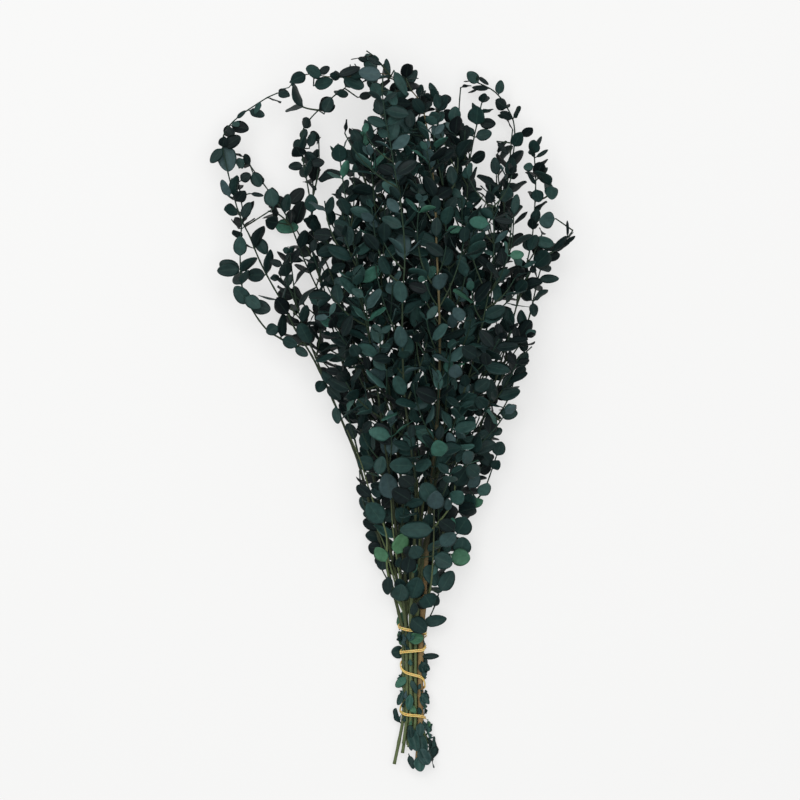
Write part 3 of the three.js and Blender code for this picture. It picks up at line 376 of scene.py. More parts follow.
# Stems: place in the bundle (x, z), cut end (x, y), heights over the floor at FAN_TOP and at the
# tip, route through the fan (x, y), and side shoots with their rise to the tip
STEMS = [
    stem_of("stem_back_centre", (0.9, -5.4), (1, 16), (20, 24),
            [(-4, 246), (-6, 300), (-10, 360), (-18, 420), (-30, 470), (-40, 520), (-48, 556), (-50, 573)],
            [shoot_of([(-6, 300), (4, 320), (14, 345), (20, 372)], -16, True)]),
    stem_of("stem_back_left", (-4.7, -2.6), (-4, 20), (27, 22),
            [(-31, 246), (-42, 291), (-54, 336), (-67, 381), (-78, 418), (-97, 460), (-113, 500),
             (-125, 518), (-144, 544), (-153, 557)],
            [shoot_of([(-78, 418), (-84, 446), (-96, 474), (-108, 496), (-116, 524)], -24, True),
             shoot_of([(-113, 500), (-121, 504), (-131, 507)], 6),
             shoot_of([(-54, 336), (-60, 362), (-70, 388), (-86, 406)], -8)]),
    stem_of("stem_back_right", (4.8, -4.4), (5, 14), (29, 24),
            [(23, 246), (38, 291), (52, 336), (63, 381), (73, 426), (80, 460), (84, 516), (88, 543),
             (92, 562), (93, 579), (90, 594), (76, 615), (55, 626)],
            [shoot_of([(73, 426), (70, 452), (72, 480), (80, 505), (82, 534)], -26, True),
             shoot_of([(84, 516), (78, 527), (76, 538)], 12),
             shoot_of([(92, 562), (98, 571), (101, 580)], 5)]),
    stem_of("stem_back_inner_left", (-0.9, -1.8), (-1, 24), (40, 52),
            [(-15, 246), (-24, 291), (-36, 336), (-51, 381), (-65, 426), (-78, 460), (-88, 482),
             (-93, 520), (-99, 554), (-101, 567), (-98, 580), (-90, 591), (-72, 608), (-61, 616)],
            [shoot_of([(-93, 520), (-87, 530), (-85, 542)], 8),
             shoot_of([(-65, 426), (-62, 452), (-66, 480), (-76, 500)], 8),
             shoot_of([(-90, 591), (-98, 599), (-105, 607)], 2)]),
    stem_of("stem_back_inner_right", (3, -0.9), (4, 26), (46, 56),
            [(10, 246), (19, 291), (28, 336), (36, 381), (43, 426), (47, 471), (49, 516), (51, 547),
             (55, 570), (62, 602)],
            [shoot_of([(43, 426), (54, 446), (58, 470), (58, 500)], -8),
             shoot_of([(28, 336), (20, 362), (10, 390), (8, 420)], -4)]),
    stem_of("stem_left", (-8.5, 2.5), (-16.5, 3), (48, 40),
            [(-40, 246), (-50, 282), (-61, 310), (-72, 336), (-90, 374), (-106, 400), (-117, 423),
             (-129, 444), (-139, 464), (-147, 484), (-155, 500), (-162, 523), (-171, 562),
             (-170, 576), (-162, 587), (-151, 596), (-131, 609), (-122, 613)],
            [shoot_of([(-90, 374), (-101, 381), (-115, 389), (-130, 398), (-141, 412), (-153, 436),
                       (-155, 471), (-153, 498)], 10),
             shoot_of([(-72, 336), (-81, 358), (-90, 381), (-99, 403), (-105, 426), (-110, 466)], 14),
             shoot_of([(-30, 215), (-40, 230), (-46, 250), (-48, 272)], 8)]),
    stem_of("stem_right", (7, -0.4), (14, 21), (52, 46),
            [(36, 246), (54, 291), (68, 331), (79, 367), (88, 399), (96, 430), (103, 460), (108, 484),
             (111, 529), (110, 552), (109, 567)],
            [shoot_of([(96, 430), (106, 451), (119, 465), (131, 472), (144, 488)], 4, slender=True),
             shoot_of([(79, 367), (91, 385), (103, 403), (109, 424), (115, 450), (123, 472)], -14),
             shoot_of([(68, 331), (79, 352), (89, 366), (108, 384)], 4),
             shoot_of([(54, 291), (66, 307), (79, 323), (88, 339), (95, 363)], -10),
             shoot_of([(30, 228), (43, 235), (56, 243), (66, 256), (76, 284)], 4),
             shoot_of([(110, 504), (122, 520), (125, 536)], 4)]),
    stem_of("stem_inner_left", (-4.6, 1.6), (-9, 13), (68, 76),
            [(-9, 246), (-14, 291), (-20, 336), (-25, 381), (-27, 426), (-29, 471), (-28, 507),
             (-27, 543), (-23, 579), (-18, 606), (-9, 620), (-1, 628)],
            [shoot_of([(-20, 336), (-32, 356), (-42, 380), (-50, 410)], 4),
             shoot_of([(-28, 507), (-40, 526), (-46, 548), (-44, 572)], 8)]),
    stem_of("stem_inner_right", (-0.6, 2.4), (-2.2, 28), (76, 84),
            [(18, 246), (25, 291), (32, 336), (36, 381), (34, 426), (31, 471), (28, 507), (26, 543),
             (23, 574), (22, 597), (21, 612)],
            [shoot_of([(36, 381), (46, 402), (54, 430), (58, 460)], 2),
             shoot_of([(28, 507), (38, 530), (40, 556), (36, 580)], 6)]),
    stem_of("stem_front_left", (-5.4, 5.6), (-8, 22), (92, 100),
            [(-18, 246), (-24, 291), (-29, 327), (-35, 372), (-42, 408), (-49, 453), (-56, 493),
             (-61, 525), (-66, 562)],
            [shoot_of([(-29, 327), (-40, 344), (-52, 366), (-60, 392)], -6),
             shoot_of([(-49, 453), (-64, 470), (-74, 490), (-78, 512)], -4),
             shoot_of([(-20, 260), (-32, 274), (-42, 294), (-46, 316)], -4)]),
    stem_of("stem_front_right", (3, 3.8), (1.2, 26), (86, 94),
            [(18, 246), (28, 286), (41, 327), (52, 363), (61, 399), (68, 435), (72, 471), (71, 500),
             (68, 526)],
            [shoot_of([(41, 327), (54, 342), (66, 362), (72, 388)], -6),
             shoot_of([(68, 435), (80, 452), (88, 474), (90, 500)], -8),
             shoot_of([(20, 256), (32, 268), (44, 284), (52, 302)], -4)]),
    stem_of("stem_arching", (7.9, 4.7), (5, 6), (104, 84),
            [(16, 246), (20, 291), (23, 336), (24, 381), (23, 426), (21, 471), (20, 507), (18, 534),
             (16, 556), (12, 580), (7, 599), (-4, 613), (-17, 622), (-31, 626), (-49, 624), (-67, 622),
             (-83, 624), (-98, 624), (-110, 613)],
            [shoot_of([(-17, 622), (-25, 630), (-34, 640), (-41, 645)], 6),
             shoot_of([(-4, 613), (-6, 621), (-5, 629)], 4),
             shoot_of([(23, 426), (10, 450), (4, 480), (6, 510)], 4)], WOODY_RADIUS, 0.72),
    stem_of("stem_front_centre", (-1.7, 6.9), (-3.2, 19), (112, 118),
            [(3, 246), (-1, 291), (-7, 336), (-9, 381), (-9, 426), (-7, 460), (-9, 493), (-14, 525),
             (-19, 556), (-24, 583), (-27, 606)],
            [shoot_of([(-7, 336), (4, 358), (12, 384), (14, 412)], -4),
             shoot_of([(-9, 426), (-22, 448), (-32, 474), (-36, 504)], -6)]),
]

# Rubber band: degrees round the bundle, y, and how far its two strands stand apart
BAND_TURNS = [
    (225, 131, 1), (180, 128.7, 1), (90, 126, 1.1), (0, 122.4, 1.8), (-90, 113, 1.2), (-180, 104.4, 1),
    (-270, 107, 1), (-360, 111.6, 1.3), (-450, 103, 1), (-540, 93.6, 1), (-630, 85, 1), (-720, 75.6, 1),
    (-810, 64, 1), (-900, 52.2, 1), (-990, 48, 1), (-1080, 45, 1), (-1170, 45, 1), (-1230, 45, 1),
]

# Left and right edges of the lying bunch (x, y), which no leaf passes
LEFT_EDGE = [(-15, 0), (-15, 129), (-20, 156), (-33, 183), (-46, 205), (-54, 268), (-60, 300), (-73, 336),
             (-90, 372), (-118, 390), (-146, 421), (-163, 439), (-177, 457), (-166, 480), (-164, 496),
             (-173, 520), (-181, 556), (-181, 575), (-166, 592), (-150, 606), (-120, 650)]
RIGHT_EDGE = [(24, 0), (24, 141), (38, 181), (54, 200), (64, 241), (76, 280), (84, 309), (97, 330),
              (110, 381), (116, 420), (130, 444), (138, 471), (150, 484), (134, 505), (133, 530),
              (124, 561), (104, 592), (100, 650)]
EDGE_CLEAR = 1.5
# Its top edge (y, x)
TOP_EDGE = [(612, -150), (617, -130), (619, -118), (630, -112), (638, -105), (638, -75), (635, -60),
            (644, -50), (648, -36), (640, -26), (638, -18), (632, -9), (632, 4), (616, 9), (613, 27),
            (600, 32), (597, 42), (630, 45), (630, 60), (618, 65), (618, 80), (604, 90), (600, 105),
            (570, 112)]


def unit(a):
    return a / math.sqrt(a @ a)


def mix(a, b, share):
    return a + (b - a) * share


def turned(a, b, angle):
    """Direction a, turned by an angle towards b, which is square to it."""
    return a * math.cos(angle) + b * math.sin(angle)


def heading(degrees):
    """Direction in the plan, in degrees from its x axis."""
    angle = math.radians(degrees)
    return np.array((math.cos(angle), math.sin(angle)))


def random_from(seed):
    """Seeded random numbers from 0 to 1."""
    state = (seed * SEED_FACTOR + SEED_OFFSET) % RANDOM_PRIME

    def draw():
        nonlocal state
        state = (state * RANDOM_FACTOR) % RANDOM_PRIME
        return state / RANDOM_PRIME

    draw()
    draw()
    return draw


def line_at(line, place):
    """The first number of a line of pairs, where its second number is at a place."""
    return np.interp(place, [pair[1] for pair in line], [pair[0] for pair in line])


def between_edges(points, margin):
    """Which points keep a margin from the bunch's left and right edge."""
    left = line_at(LEFT_EDGE, points[:, 1]) + margin
    right = line_at(RIGHT_EDGE, points[:, 1]) - margin
    return (points[:, 0] > left) & (points[:, 0] < right)


def depth_inside(x, y, top_share=1):
    """How far a place is inside the bunch's outline."""
    below_top = top_share * (line_at(TOP_EDGE, x) - y)
    return min(x - line_at(LEFT_EDGE, y), line_at(RIGHT_EDGE, y) - x, below_top)


def curve_point(a, b, c, d, t):
    """Point of a smooth curve from b to c, with a before them and d after them."""
    return b + 0.5 * t * (c - a + t * (2 * a - 5 * b + 4 * c - d + t * (3 * (b - c) + d - a)))


def dense_curve(points, parts=12):
    """Smooth curve through given points, as a dense list."""
    points = [np.array(point, float) for point in points]
    last = len(points) - 1
    dense = []
    for i in range(last):
        corners = [points[min(max(k, 0), last)] for k in range(i - 1, i + 3)]
        dense += [curve_point(*corners, k / parts) for k in range(parts)]
    return dense + [points[-1]]


def closed_curve(points, parts):
    """Smooth closed curve through a loop of points."""
    count = len(points)
    dense = []
    for i in range(count):
        corners = [points[(i + k) % count] for k in (-1, 0, 1, 2)]
        dense += [curve_point(*corners, k / parts) for k in range(parts)]
    return dense


def leaf_nodes(dense, spacing):
    """Points along a dense list, where leaf pairs grow; their spacing goes from low to tip."""
    low, tip = spacing
    steps = [math.sqrt((b - a) @ (b - a)) for a, b in zip(dense, dense[1:])]
    lengths = [0]
    for step in steps:
        lengths.append(lengths[-1] + step)
    total = lengths[-1]
    stations = [0]
    while stations[-1] < total:
        stations.append(stations[-1] + mix(low, tip, stations[-1] / total))
    stretch = total / stations[-1]
    nodes = []
    i = 1
    for station in stations:
        along = min(station * stretch, total)
        while i < len(lengths) - 1 and lengths[i] < along:
            i += 1
        nodes.append(dense[i - 1] + (dense[i] - dense[i - 1]) * ((along - lengths[i - 1]) / steps[i - 1]))
    return nodes


def stem_height(stem, y):
    """Height of a stem over the floor: level in the band, then a straight rise."""
    tied = BUNDLE_HEIGHT + stem["slot"][1] * SLOT_SCALE
    top, tip = stem["heights"]
    tip_y = max(point[1] for point in stem["route"])
    if y <= FAN_START:
        return tied
    if y <= FAN_TOP:
        return mix(tied, top, (y - FAN_START) / (FAN_TOP - FAN_START))
    return mix(top, tip, (y - FAN_TOP) / (tip_y - FAN_TOP))


def stem_points(stem):
    """The whole of a stem's route: cut end, band, fan."""
    slot_x = stem["slot"][0] * SLOT_SCALE
    tied = [(slot_x * spread, y) for y, spread in TIED_ROUTE]
    points = [(*stem["cut"], stem_height(stem, 0))]
    return points + [(x, y, stem_height(stem, y)) for x, y in tied + stem["route"]]


def modelled_nodes(path):
    """Leaf nodes whose pairs the solids have, from the tip down."""
    last = len(path) - 1
    kept = []
    i = last - 1
    while i > 0:
        kept.append(i)
        i -= OPEN_STEP if i / last > OPEN_FROM else DENSE_STEP
    return kept


def shoot_points(side, stem_path):
    """A side shoot starts inside its stem, at the nearest modelled leaf node."""
    x, y = side["route"][0]
    nodes = [stem_path[i] for i in modelled_nodes(stem_path)]
    root = min(nodes, key=lambda node: math.hypot(node[0] - x, node[1] - y))
    count = len(side["route"]) - 1
    lowest = RESTING_HEIGHT if side["rests"] else 0
    points = [tuple(root)]
    for i, (next_x, next_y) in enumerate(side["route"][1:], 1):
        share = i / count
        height = root[2] + side["rise"] * share
        lying = side["rests"] and share > LYING_FROM
        points.append((next_x, next_y, lowest if lying else max(height, lowest)))
    return points


def frame_at(path, i):
    """Directions at a point of a path: along it, level across it, and up from it."""
    along = unit(path[min(i + 1, len(path) - 1)] - path[max(i - 1, 0)])
    across = unit(np.cross(along, (0, 0, 1)))
    return along, across, np.cross(across, along)


class Space:
    """Cells that stems and leaves take up, with the numbers of their owners."""

    def __init__(self):
        self.owners = {}
        self.around = {}

    def keys(self, points, reach=0):
        cells = np.floor(np.asarray(points) / CELL).astype(np.int64) + CELLS_ACROSS // 2
        keys = cells @ CELL_STRIDES
        if reach:
            if reach not in self.around:
                span = range(-reach, reach + 1)
                self.around[reach] = np.array(list(itertools.product(span, repeat=3))) @ CELL_STRIDES
            keys = np.unique(keys[:, None] + self.around[reach])
        return keys.tolist()

    def take(self, points, reach, owner):
        for key in self.keys(points, reach):
            self.owners.setdefault(key, set()).add(owner)

    def is_free(self, key, allowed):
        owners = self.owners.get(key)
        return not owners or owners <= allowed


space = Space()


def radius_at(shoot, share):
    """Stems thin quickly above the band, and the woody one slowly."""
    power = WOODY_THINNING if shoot["low"] > STEM_RADIUS else THINNING
    return mix(TIP_RADIUS, shoot["low"], (1 - max(0, share - BAND_SHARE) / (1 - BAND_SHARE)) ** power)


def owner_of(shoot):
    return -1 - shoot["number"]


def new_shoot(stem, path, low, number, **more):
    """A stem, side shoot or twig, from its nodes and its radius at the low end."""
    return {"stem": stem, "path": path, "low": low, "number": number, "main": False, "rests": False,
            "slender": False, "front": False, "turn": 0, "taper": SHOOT_TAPER, **more}


def grow_shoots():
    """Stems and side shoots of the whole bunch, each with its leaf nodes."""
    shoots = []
    for stem in STEMS:
        name = stem["name"]
        path = leaf_nodes(dense_curve(stem_points(stem)), INTERNODES)
        shoots.append(new_shoot(name, path, stem["radius"], len(shoots), main=True, taper=stem["taper"]))
        for side in stem["shoots"]:
            dense = dense_curve(shoot_points(side, path))
            if side["rests"]:
                for point in dense:
                    point[2] = max(point[2], RESTING_HEIGHT)
            nodes = leaf_nodes(dense, SHOOT_INTERNODES)
            form = {key: side[key] for key in ("rests", "slender")}
            shoots.append(new_shoot(name, nodes, SHOOT_RADIUS, len(shoots), **form))
    for shoot in shoots:
        if not shoot["rests"]:
            shoot["turn"] = mix(*SHOOT_TURNS, random_from(shoot["number"])())
    return shoots


def take_shoot(shoot):
    """Gives a shoot the cells that it runs through."""
    path = shoot["path"]
    for i in range(len(path) - 1):
        run = path[i + 1] - path[i]
        steps = math.ceil(math.sqrt(run @ run) / SAMPLE)
        reach = 2 if radius_at(shoot, i / (len(path) - 1)) > THICK_SHOOT else 1
        space.take([path[i] + run * (k / steps) for k in range(steps)], reach, owner_of(shoot))


def leaf_of(root, along, normal, outward, length, width, curl, **more):
    """A leaf's place, directions and form; without a tone, one is drawn for it later."""
    return {"root": root, "along": along, "normal": normal, "across": np.cross(normal, along),
            "outward": outward, "length": length, "width": width, "curl": curl, "lifted": 0,
            "flat": False, "crumpled": False, "extra": False, "traced": False,
            "clear": OWN_STEM_CLEAR, "tone": None, **more}


def half_width(leaf, share, roundness=ROUNDNESS):
    return leaf["width"] * 0.5 * math.sin(math.pi * min(share * SINE_SHARE + SINE_START, 1)) ** roundness


def blade_points(leaf, outs, sides):
    """Points of the blade: their distances from the root along the leaf, and across it."""
    shares = outs / leaf["length"]
    raised = leaf["curl"] * shares * shares * leaf["length"]
    raised = raised + leaf["lifted"] * np.clip(outs / RAISED_LENGTH, 0, 1)
    return (leaf["root"] + outs[:, None] * leaf["along"] + sides[:, None] * leaf["across"]
            + raised[:, None] * leaf["normal"])


def leaf_samples(leaf, spacing=SAMPLE):
    """Points spread over a blade."""
    outs, sides = [], []
    rows = math.ceil(leaf["length"] / spacing)
    for i in range(1, rows + 1):
        half = half_width(leaf, i / rows)
        columns = math.ceil(half / spacing)
        for k in range(-columns, columns + 1):
            outs.append(PETIOLE + i / rows * leaf["length"])
            sides.append(half * k / columns if columns else 0)
    return blade_points(leaf, np.array(outs), np.array(sides))


def make_leaf(axes, root, turn, spread, roll, length, form):
    """One leaf: turn is its place round the shoot in degrees, spread its angle to the shoot."""
    along_shoot, across_shoot, up = axes
    outward = turned(across_shoot, up, math.radians(turn))
    lean = math.radians(spread - PRESSED * max(0, outward[2]))
    along = unit(turned(along_shoot, outward, lean))
    facing = along_shoot * math.sin(lean) - outward * math.cos(lean)
    level = np.cross(facing, along)
    to_light = math.atan(level[2] / (abs(facing[2]) + LIGHT_EASE)) * (1 if facing[2] >= 0 else -1)
    normal = unit(turned(facing, level, math.radians(roll) + to_light * TURNED_TO_LIGHT))
    width = length * LEAF_WIDTH_SHARE * form["width"]
    return leaf_of(root, along, normal, outward, length, width, form["curl"], extra=form["extra"])


def make_resting_leaf(axes, root, hand, length):
    """A leaf pressed flat on the floor."""
    level = np.array((1, 1, 0))
    outward = axes[1] * level * hand
    along = unit(axes[0] * level + outward * RESTING_SPREAD)
    floor_root = np.array((root[0], root[1], LEAF_THICKNESS / 2))
    upward = np.array((0.0, 0.0, 1.0))
    return leaf_of(floor_root, along, upward, outward, length, length * LEAF_WIDTH_SHARE, 0, flat=True)


def clears_own_stem(points, shoot, i):
    """Whether the far part of a leaf keeps off the stem that it grows from."""
    path = np.array(shoot["path"][max(0, i - NODES_BEFORE):i + NODES_AFTER])
    runs = np.diff(path, axis=0)
    offsets = points[:, None] - path[:-1]
    shares = np.clip((offsets * runs).sum(2) / (runs * runs).sum(1), 0, 1)
    gaps = np.linalg.norm(offsets - shares[:, :, None] * runs, axis=2)
    return gaps.min() > radius_at(shoot, i / (len(shoot["path"]) - 1)) + OWN_STEM_GAP


def in_gap(points):
    """Whether any of the points is in a gap of the crown that stays open."""
    return any(((abs(points[:, 0] - x) < half_x) & (abs(points[:, 1] - y) < half_y)).any()
               for x, y, half_x, half_y in OPEN_GAPS)


def fits(leaf, shoot, i, own):
    """Whether a leaf keeps clear of the floor, the bunch's edges and everything already placed."""
    points = leaf_samples(leaf)
    inside = between_edges(points, EDGE_CLEAR) & (points[:, 1] < line_at(TOP_EDGE, points[:, 0]))
    off_stem = (points - leaf["root"]) @ leaf["outward"] > leaf["clear"]
    too_high = (leaf["extra"] or leaf["traced"]) and points[:, 2].max() > CEILING
    if too_high or leaf["extra"] and in_gap(points):
        return False
    if not (off_stem & (inside | leaf["traced"]) & (points[:, 2] > LOWEST_LEAF)).all():
        return False
    near = np.linalg.norm(points - leaf["root"], axis=1) < NEAR_ROOT
    own_stem = {owner_of(shoot)}
    own_pair = own_stem | {own}
    cells = zip(space.keys(points), near)
    if not all(space.is_free(key, own_pair if close else own_stem) for key, close in cells):
        return False
    return near.all() or clears_own_stem(points[~near], shoot, i)


def first_fit(tries, shoot, i, own):
    """The first leaf that fits, of those that are tried in turn."""
    return next((leaf for leaf in tries if fits(leaf, shoot, i, own)), None)


def keep_leaf(leaf, leaves, own, **more):
    """Gives a leaf its cells, its stem and seed, and a place among the leaves."""
    space.take(leaf_samples(leaf), 1, own)
    leaf.update(more)
    leaves.append(leaf)


def grow_pair(shoot, i, leaves, extra=False):
    """A pair of leaves stands crosswise to the pair before it."""
    draw = random_from(shoot["number"] * PAIR_SEEDS + i)
    path = shoot["path"]
    axes = frame_at(path, i)
    last = len(path) - 1
    size = np.interp(path[i][1], SIZE_HEIGHTS, SIZES) * (1 - shoot["taper"] * (i / last) ** TAPER_POWER)
    resting = shoot["rests"] and i >= last - 2
    own = shoot["number"] * PAIR_OWNERS + i
    slim = SLENDER if shoot["slender"] and i > len(path) / 2 else 1
    for hand in (0, 1):
        face = hand * 2 if resting else i % 2 + hand * 2
        form = {"width": mix(*PAIR_WIDTHS, draw()) * slim, "curl": mix(*PAIR_CURLS, draw()), "extra": extra}
        length = LEAF_LENGTH * size * mix(*PAIR_LENGTHS, draw())
        spread = mix(*PAIR_SPREADS, draw())
        roll = mix(*PAIR_ROLLS, draw())
        turn = shoot["turn"] + face * 90 + mix(*PAIR_TURNS, draw())
        if resting and i in modelled_nodes(path):
            leaf = make_resting_leaf(axes, path[i], 1 - 2 * hand, length)
        else:
            tries = (make_leaf(axes, path[i], turn + aside, spread, roll + twist, length * scale, form)
                     for scale in PAIR_SCALES for aside, twist in ASIDE)
            leaf = first_fit(tries, shoot, i, own)
        if leaf:
            keep_leaf(leaf, leaves, own, stem=shoot["stem"], seed=own * 2 + hand)


def plan_of(pixel_x, pixel_y, height):
    """Where something at a height over the floor is, in the plan, if the photo shows it at a pixel."""
    shrink = (CAMERA_HEIGHT - height) / (CAMERA_HEIGHT - PLAN_HEIGHT)
    x, y = (pixel_x - TIE_PIXEL_X) * PIXEL, (FOOT_PIXEL_Y - pixel_y) * PIXEL
    return np.array((MIDDLE_X + (x - MIDDLE_X) * shrink, MIDDLE_Y + (y - MIDDLE_Y) * shrink))


def traced_leaf(traced, shoot, i, root):
    """Tries a traced leaf from one root, at several tilts, and gives the first that fits."""
    pixel_x, pixel_y, angle, length, width, tone = traced
    way = plan_of(pixel_x, pixel_y, root[2]) - root[:2]
    level = unit(heading(angle) * length * OWN_WAY + way)
    tries = []
    for tilt in TRACED_TILTS:
        along = np.array((*(level * math.cos(math.radians(tilt))), math.sin(math.radians(tilt))))
        side = np.cross((0, 0, 1), along)
        upright = unit(np.cross(along, side))
        for roll in TRACED_ROLLS:
            normal = unit(turned(upright, unit(side), math.radians(roll)))
            tries.append(leaf_of(root, along, normal, upright, length, width, TRACED_CURL, traced=True,
                                 lifted=TRACED_LIFT, clear=-length, tone=tone))
    return first_fit(tries, shoot, i, None)


def root_places(shoots):
    """Every place on the shoots where a leaf could grow, with its shoot and node."""
    roots, owners = [], []
    for shoot in shoots:
        path = shoot["path"]
        last = len(path) - 1
        for i in range(1, last + 1):
            for share in ROOT_SHARES if i < last else ROOT_SHARES[:1]:
                roots.append(path[i] + (path[min(i + 1, last)] - path[i]) * share)
                owners.append((shoot, i))
    return np.array(roots), owners


def stalk_to(traced, base, root, parent, shoots):
    """A short twig from a shoot to the base of a traced leaf that is too far from it."""
    for rise in STALK_RISES:
        end = np.array((*base, root[2] + rise))
        points = [root + (end - root) * (k / STALK_PARTS) for k in range(STALK_PARTS + 1)]
        if not twig_fits(points, parent, False):
            continue
        stalk = new_shoot(parent["stem"], points, TWIG_RADIUS, len(shoots))
        leaf = traced_leaf(traced, stalk, STALK_PARTS, end)
        if leaf:
            shoots.append(stalk)
            take_shoot(stalk)
            return leaf
    return None


def place_leaf(traced, places, shoots, height_favour, own, leaves):
    """A traced leaf grows on the nearest shoot, or on a stalk from it."""
    roots, owners = places
    pixel_x, pixel_y, angle, length = traced[:4]
    bases = plan_of(pixel_x, pixel_y, roots[:, 2]).T - heading(angle) * (PETIOLE + length / 2)
    gaps = np.hypot(*(roots[:, :2] - bases).T)
    near = [k for k in np.argsort(gaps - height_favour * roots[:, 2]) if gaps[k] < STALK_FROM]
    far = [k for k in np.argsort(gaps)[:STALK_STEP * ROOTS_TRIED:STALK_STEP] if gaps[k] < LONGEST_STALK]
    on_shoot = ((k, traced_leaf(traced, *owners[k], roots[k])) for k in near[:ROOTS_TRIED])
    on_stalk = ((k, stalk_to(traced, bases[k], roots[k], owners[k][0], shoots)) for k in far)
    k, leaf = next((one for one in itertools.chain(on_shoot, on_stalk) if one[1]), (None, None))
    if leaf:
        keep_leaf(leaf, leaves, own, stem=owners[k][0]["stem"], seed=own)
    return leaf


def front_path(trace, root, share):
    """A traced front stem's points, at a share of the height of the bunch's front."""
    points = [root]
    for pixel_x, pixel_y in trace[1:]:
        height = line_at(FRONT_HEIGHTS, plan_of(pixel_x, pixel_y, PLAN_HEIGHT)[1]) * share
        points.append(np.array((*plan_of(pixel_x, pixel_y, height), height)))
    return points


def grow_front_stems(shoots, mains):
    """Thin stems that leave the tied bundle just over the band and run up the front of the bunch."""
    grown = []
    for trace in FRONT_STEMS:
        base = plan_of(*trace[0], 2 * BUNDLE_HEIGHT)
        starts = [(parent, point) for parent in mains for point in parent["path"]
                  if point[1] > FIRST_LEAVES and abs(point[1] - base[1]) < FRONT_REACH]
        starts.sort(key=lambda one: np.hypot(*(one[1][:2] - base)) - one[1][2])
        paths = ((parent, front_path(trace, root, share))
                 for parent, root in starts[:FRONT_STARTS] for share in FRONT_SHARES)
        parent, points = next((one for one in paths if twig_fits(one[1], one[0], False)), (None, None))
        if parent:
            path = leaf_nodes(dense_curve(points), SHOOT_INTERNODES)
            stem = new_shoot(parent["stem"], path, FRONT_RADIUS, len(shoots), front=True)
            take_shoot(stem)
            shoots.append(stem)
            grown.append(stem)
    return grown


def keep_clear_over(points, owner):
    """Gives an owner the space straight over its points."""
    for height in KEPT_CLEAR:
        space.take(points + (0, 0, height), 1, owner)


def grow_traced_leaves(shoots, leaves):
    places = root_places(shoots)
    for number, traced in enumerate(TRACED_LEAVES):
        favour = LOW_FAVOUR if traced in NARROW_PART_LEAVES else HEIGHT_FAVOUR
        place_leaf(traced, places, shoots, favour, TRACED_OWNERS + number, leaves)


def cover_with(covered, points):
    """Marks the cells of the picture in which the camera sees points of the plan."""
    grow = (CAMERA_HEIGHT - PLAN_HEIGHT) / (CAMERA_HEIGHT - points[:, 2]) / PIXEL
    x = FRAME_PIXELS / 2 + (points[:, 0] - MIDDLE_X) * grow
    y = FRAME_PIXELS / 2 - (points[:, 1] - MIDDLE_Y) * grow
    covered[(y / COVER_PIXELS).astype(int), (x / COVER_PIXELS).astype(int)] = True


def fill_leaves(shoots, leaves):
    """Leaves wherever the floor still shows well inside the bunch."""
    cells = FRAME_PIXELS // COVER_PIXELS
    covered = np.zeros((cells, cells), bool)
    for leaf in leaves:
        cover_with(covered, leaf_samples(leaf, 1))
    for shoot in shoots:
        cover_with(covered, np.array(dense_curve(shoot["path"], COVER_PARTS)))
    places = root_places(shoots)
    for row, column in np.argwhere(~covered):
        pixel_x, pixel_y = (column + 0.5) * COVER_PIXELS, (row + 0.5) * COVER_PIXELS
        x, y = plan_of(pixel_x, pixel_y, PLAN_HEIGHT)
        dense = FILL_FROM < y < FILL_TO and line_at(FILL_LEFT, y) < x < line_at(FILL_RIGHT, y)
        if covered[row, column] or not dense or in_gap(np.array([(x, y, PLAN_HEIGHT)])):
            continue
        draw = random_from(int(row * cells + column))
        for size, width_share, most in FILL_FORMS:
            angle = 90 + most * mix(-1, 1, draw())
            length = mix(*FILL_LENGTHS, draw()) * size
            traced = (pixel_x, pixel_y, angle, length, length * width_share, None)
            leaf = place_leaf(traced, places, shoots, -HEIGHT_FAVOUR, FILL_OWNERS + len(leaves), leaves)
            if leaf:
                cover_with(covered, leaf_samples(leaf, 1))
                break


def twig_path(parent, i, turn, lean, count, spacing):
    """A twig leaves its shoot at a leaf node, and bends to run beside it."""
    path = parent["path"]
    _, across, up = frame_at(path, i)
    outward = turned(across, up, math.radians(turn))
    points = [path[i]]
    for k in range(count):
        tilt = math.radians(lean * (1 - TWIG_BEND * k / count))
        beside = frame_at(path, min(i + k // 2, len(path) - 1))[0]
        points.append(points[-1] + turned(beside, outward, tilt) * spacing)
    return points


def twig_fits(points, parent, bounded=True):
    """Whether a twig keeps clear of everything but its parent and, if bounded, inside the bunch."""
    samples = []
    for a, b in zip(points, points[1:]):
        samples += [a + (b - a) * (k / TWIG_SAMPLES) for k in range(1, TWIG_SAMPLES + 1)]
    samples = np.array(samples)
    if bounded:
        inside = between_edges(samples, np.interp(samples[:, 1], TWIG_MARGIN_HEIGHTS, TWIG_MARGINS))
        inside &= (samples[:, 1] < TWIG_TOP) & (samples[:, 2] > TWIG_FLOOR) & (samples[:, 2] < TWIG_CEILING)
        if not inside.all() or in_gap(samples):
            return False
    near = np.linalg.norm(samples - points[0], axis=1) < NEAR_ROOT
    own = {owner_of(parent)}
    return all(close or space.is_free(key, own) for key, close in zip(space.keys(samples), near))


def twig_tries(point):
    """How many twigs are tried at a leaf node: more the farther it is inside the bunch."""
    x, y = point[:2]
    return 1 if x < OPEN_SIDE else int(np.interp(depth_inside(x, y), TRIES_INWARD, TRIES))


def grow_leafy_twig(parent, points, turn, shoots, leaves):
    """A twig's leaves, from its tip down; the twig then ends at the last node that has any."""
    twig = new_shoot(parent["stem"], points, TWIG_RADIUS, len(shoots), turn=turn)
    take_shoot(twig)
    leafy = 0
    for node in range(len(points) - 1, 0, -1):
        before = len(leaves)
        grow_pair(twig, node, leaves, True)
        if len(leaves) > before:
            leafy = max(leafy, node)
    if leafy:
        twig["path"] = points[:leafy + 1]
        shoots.append(twig)


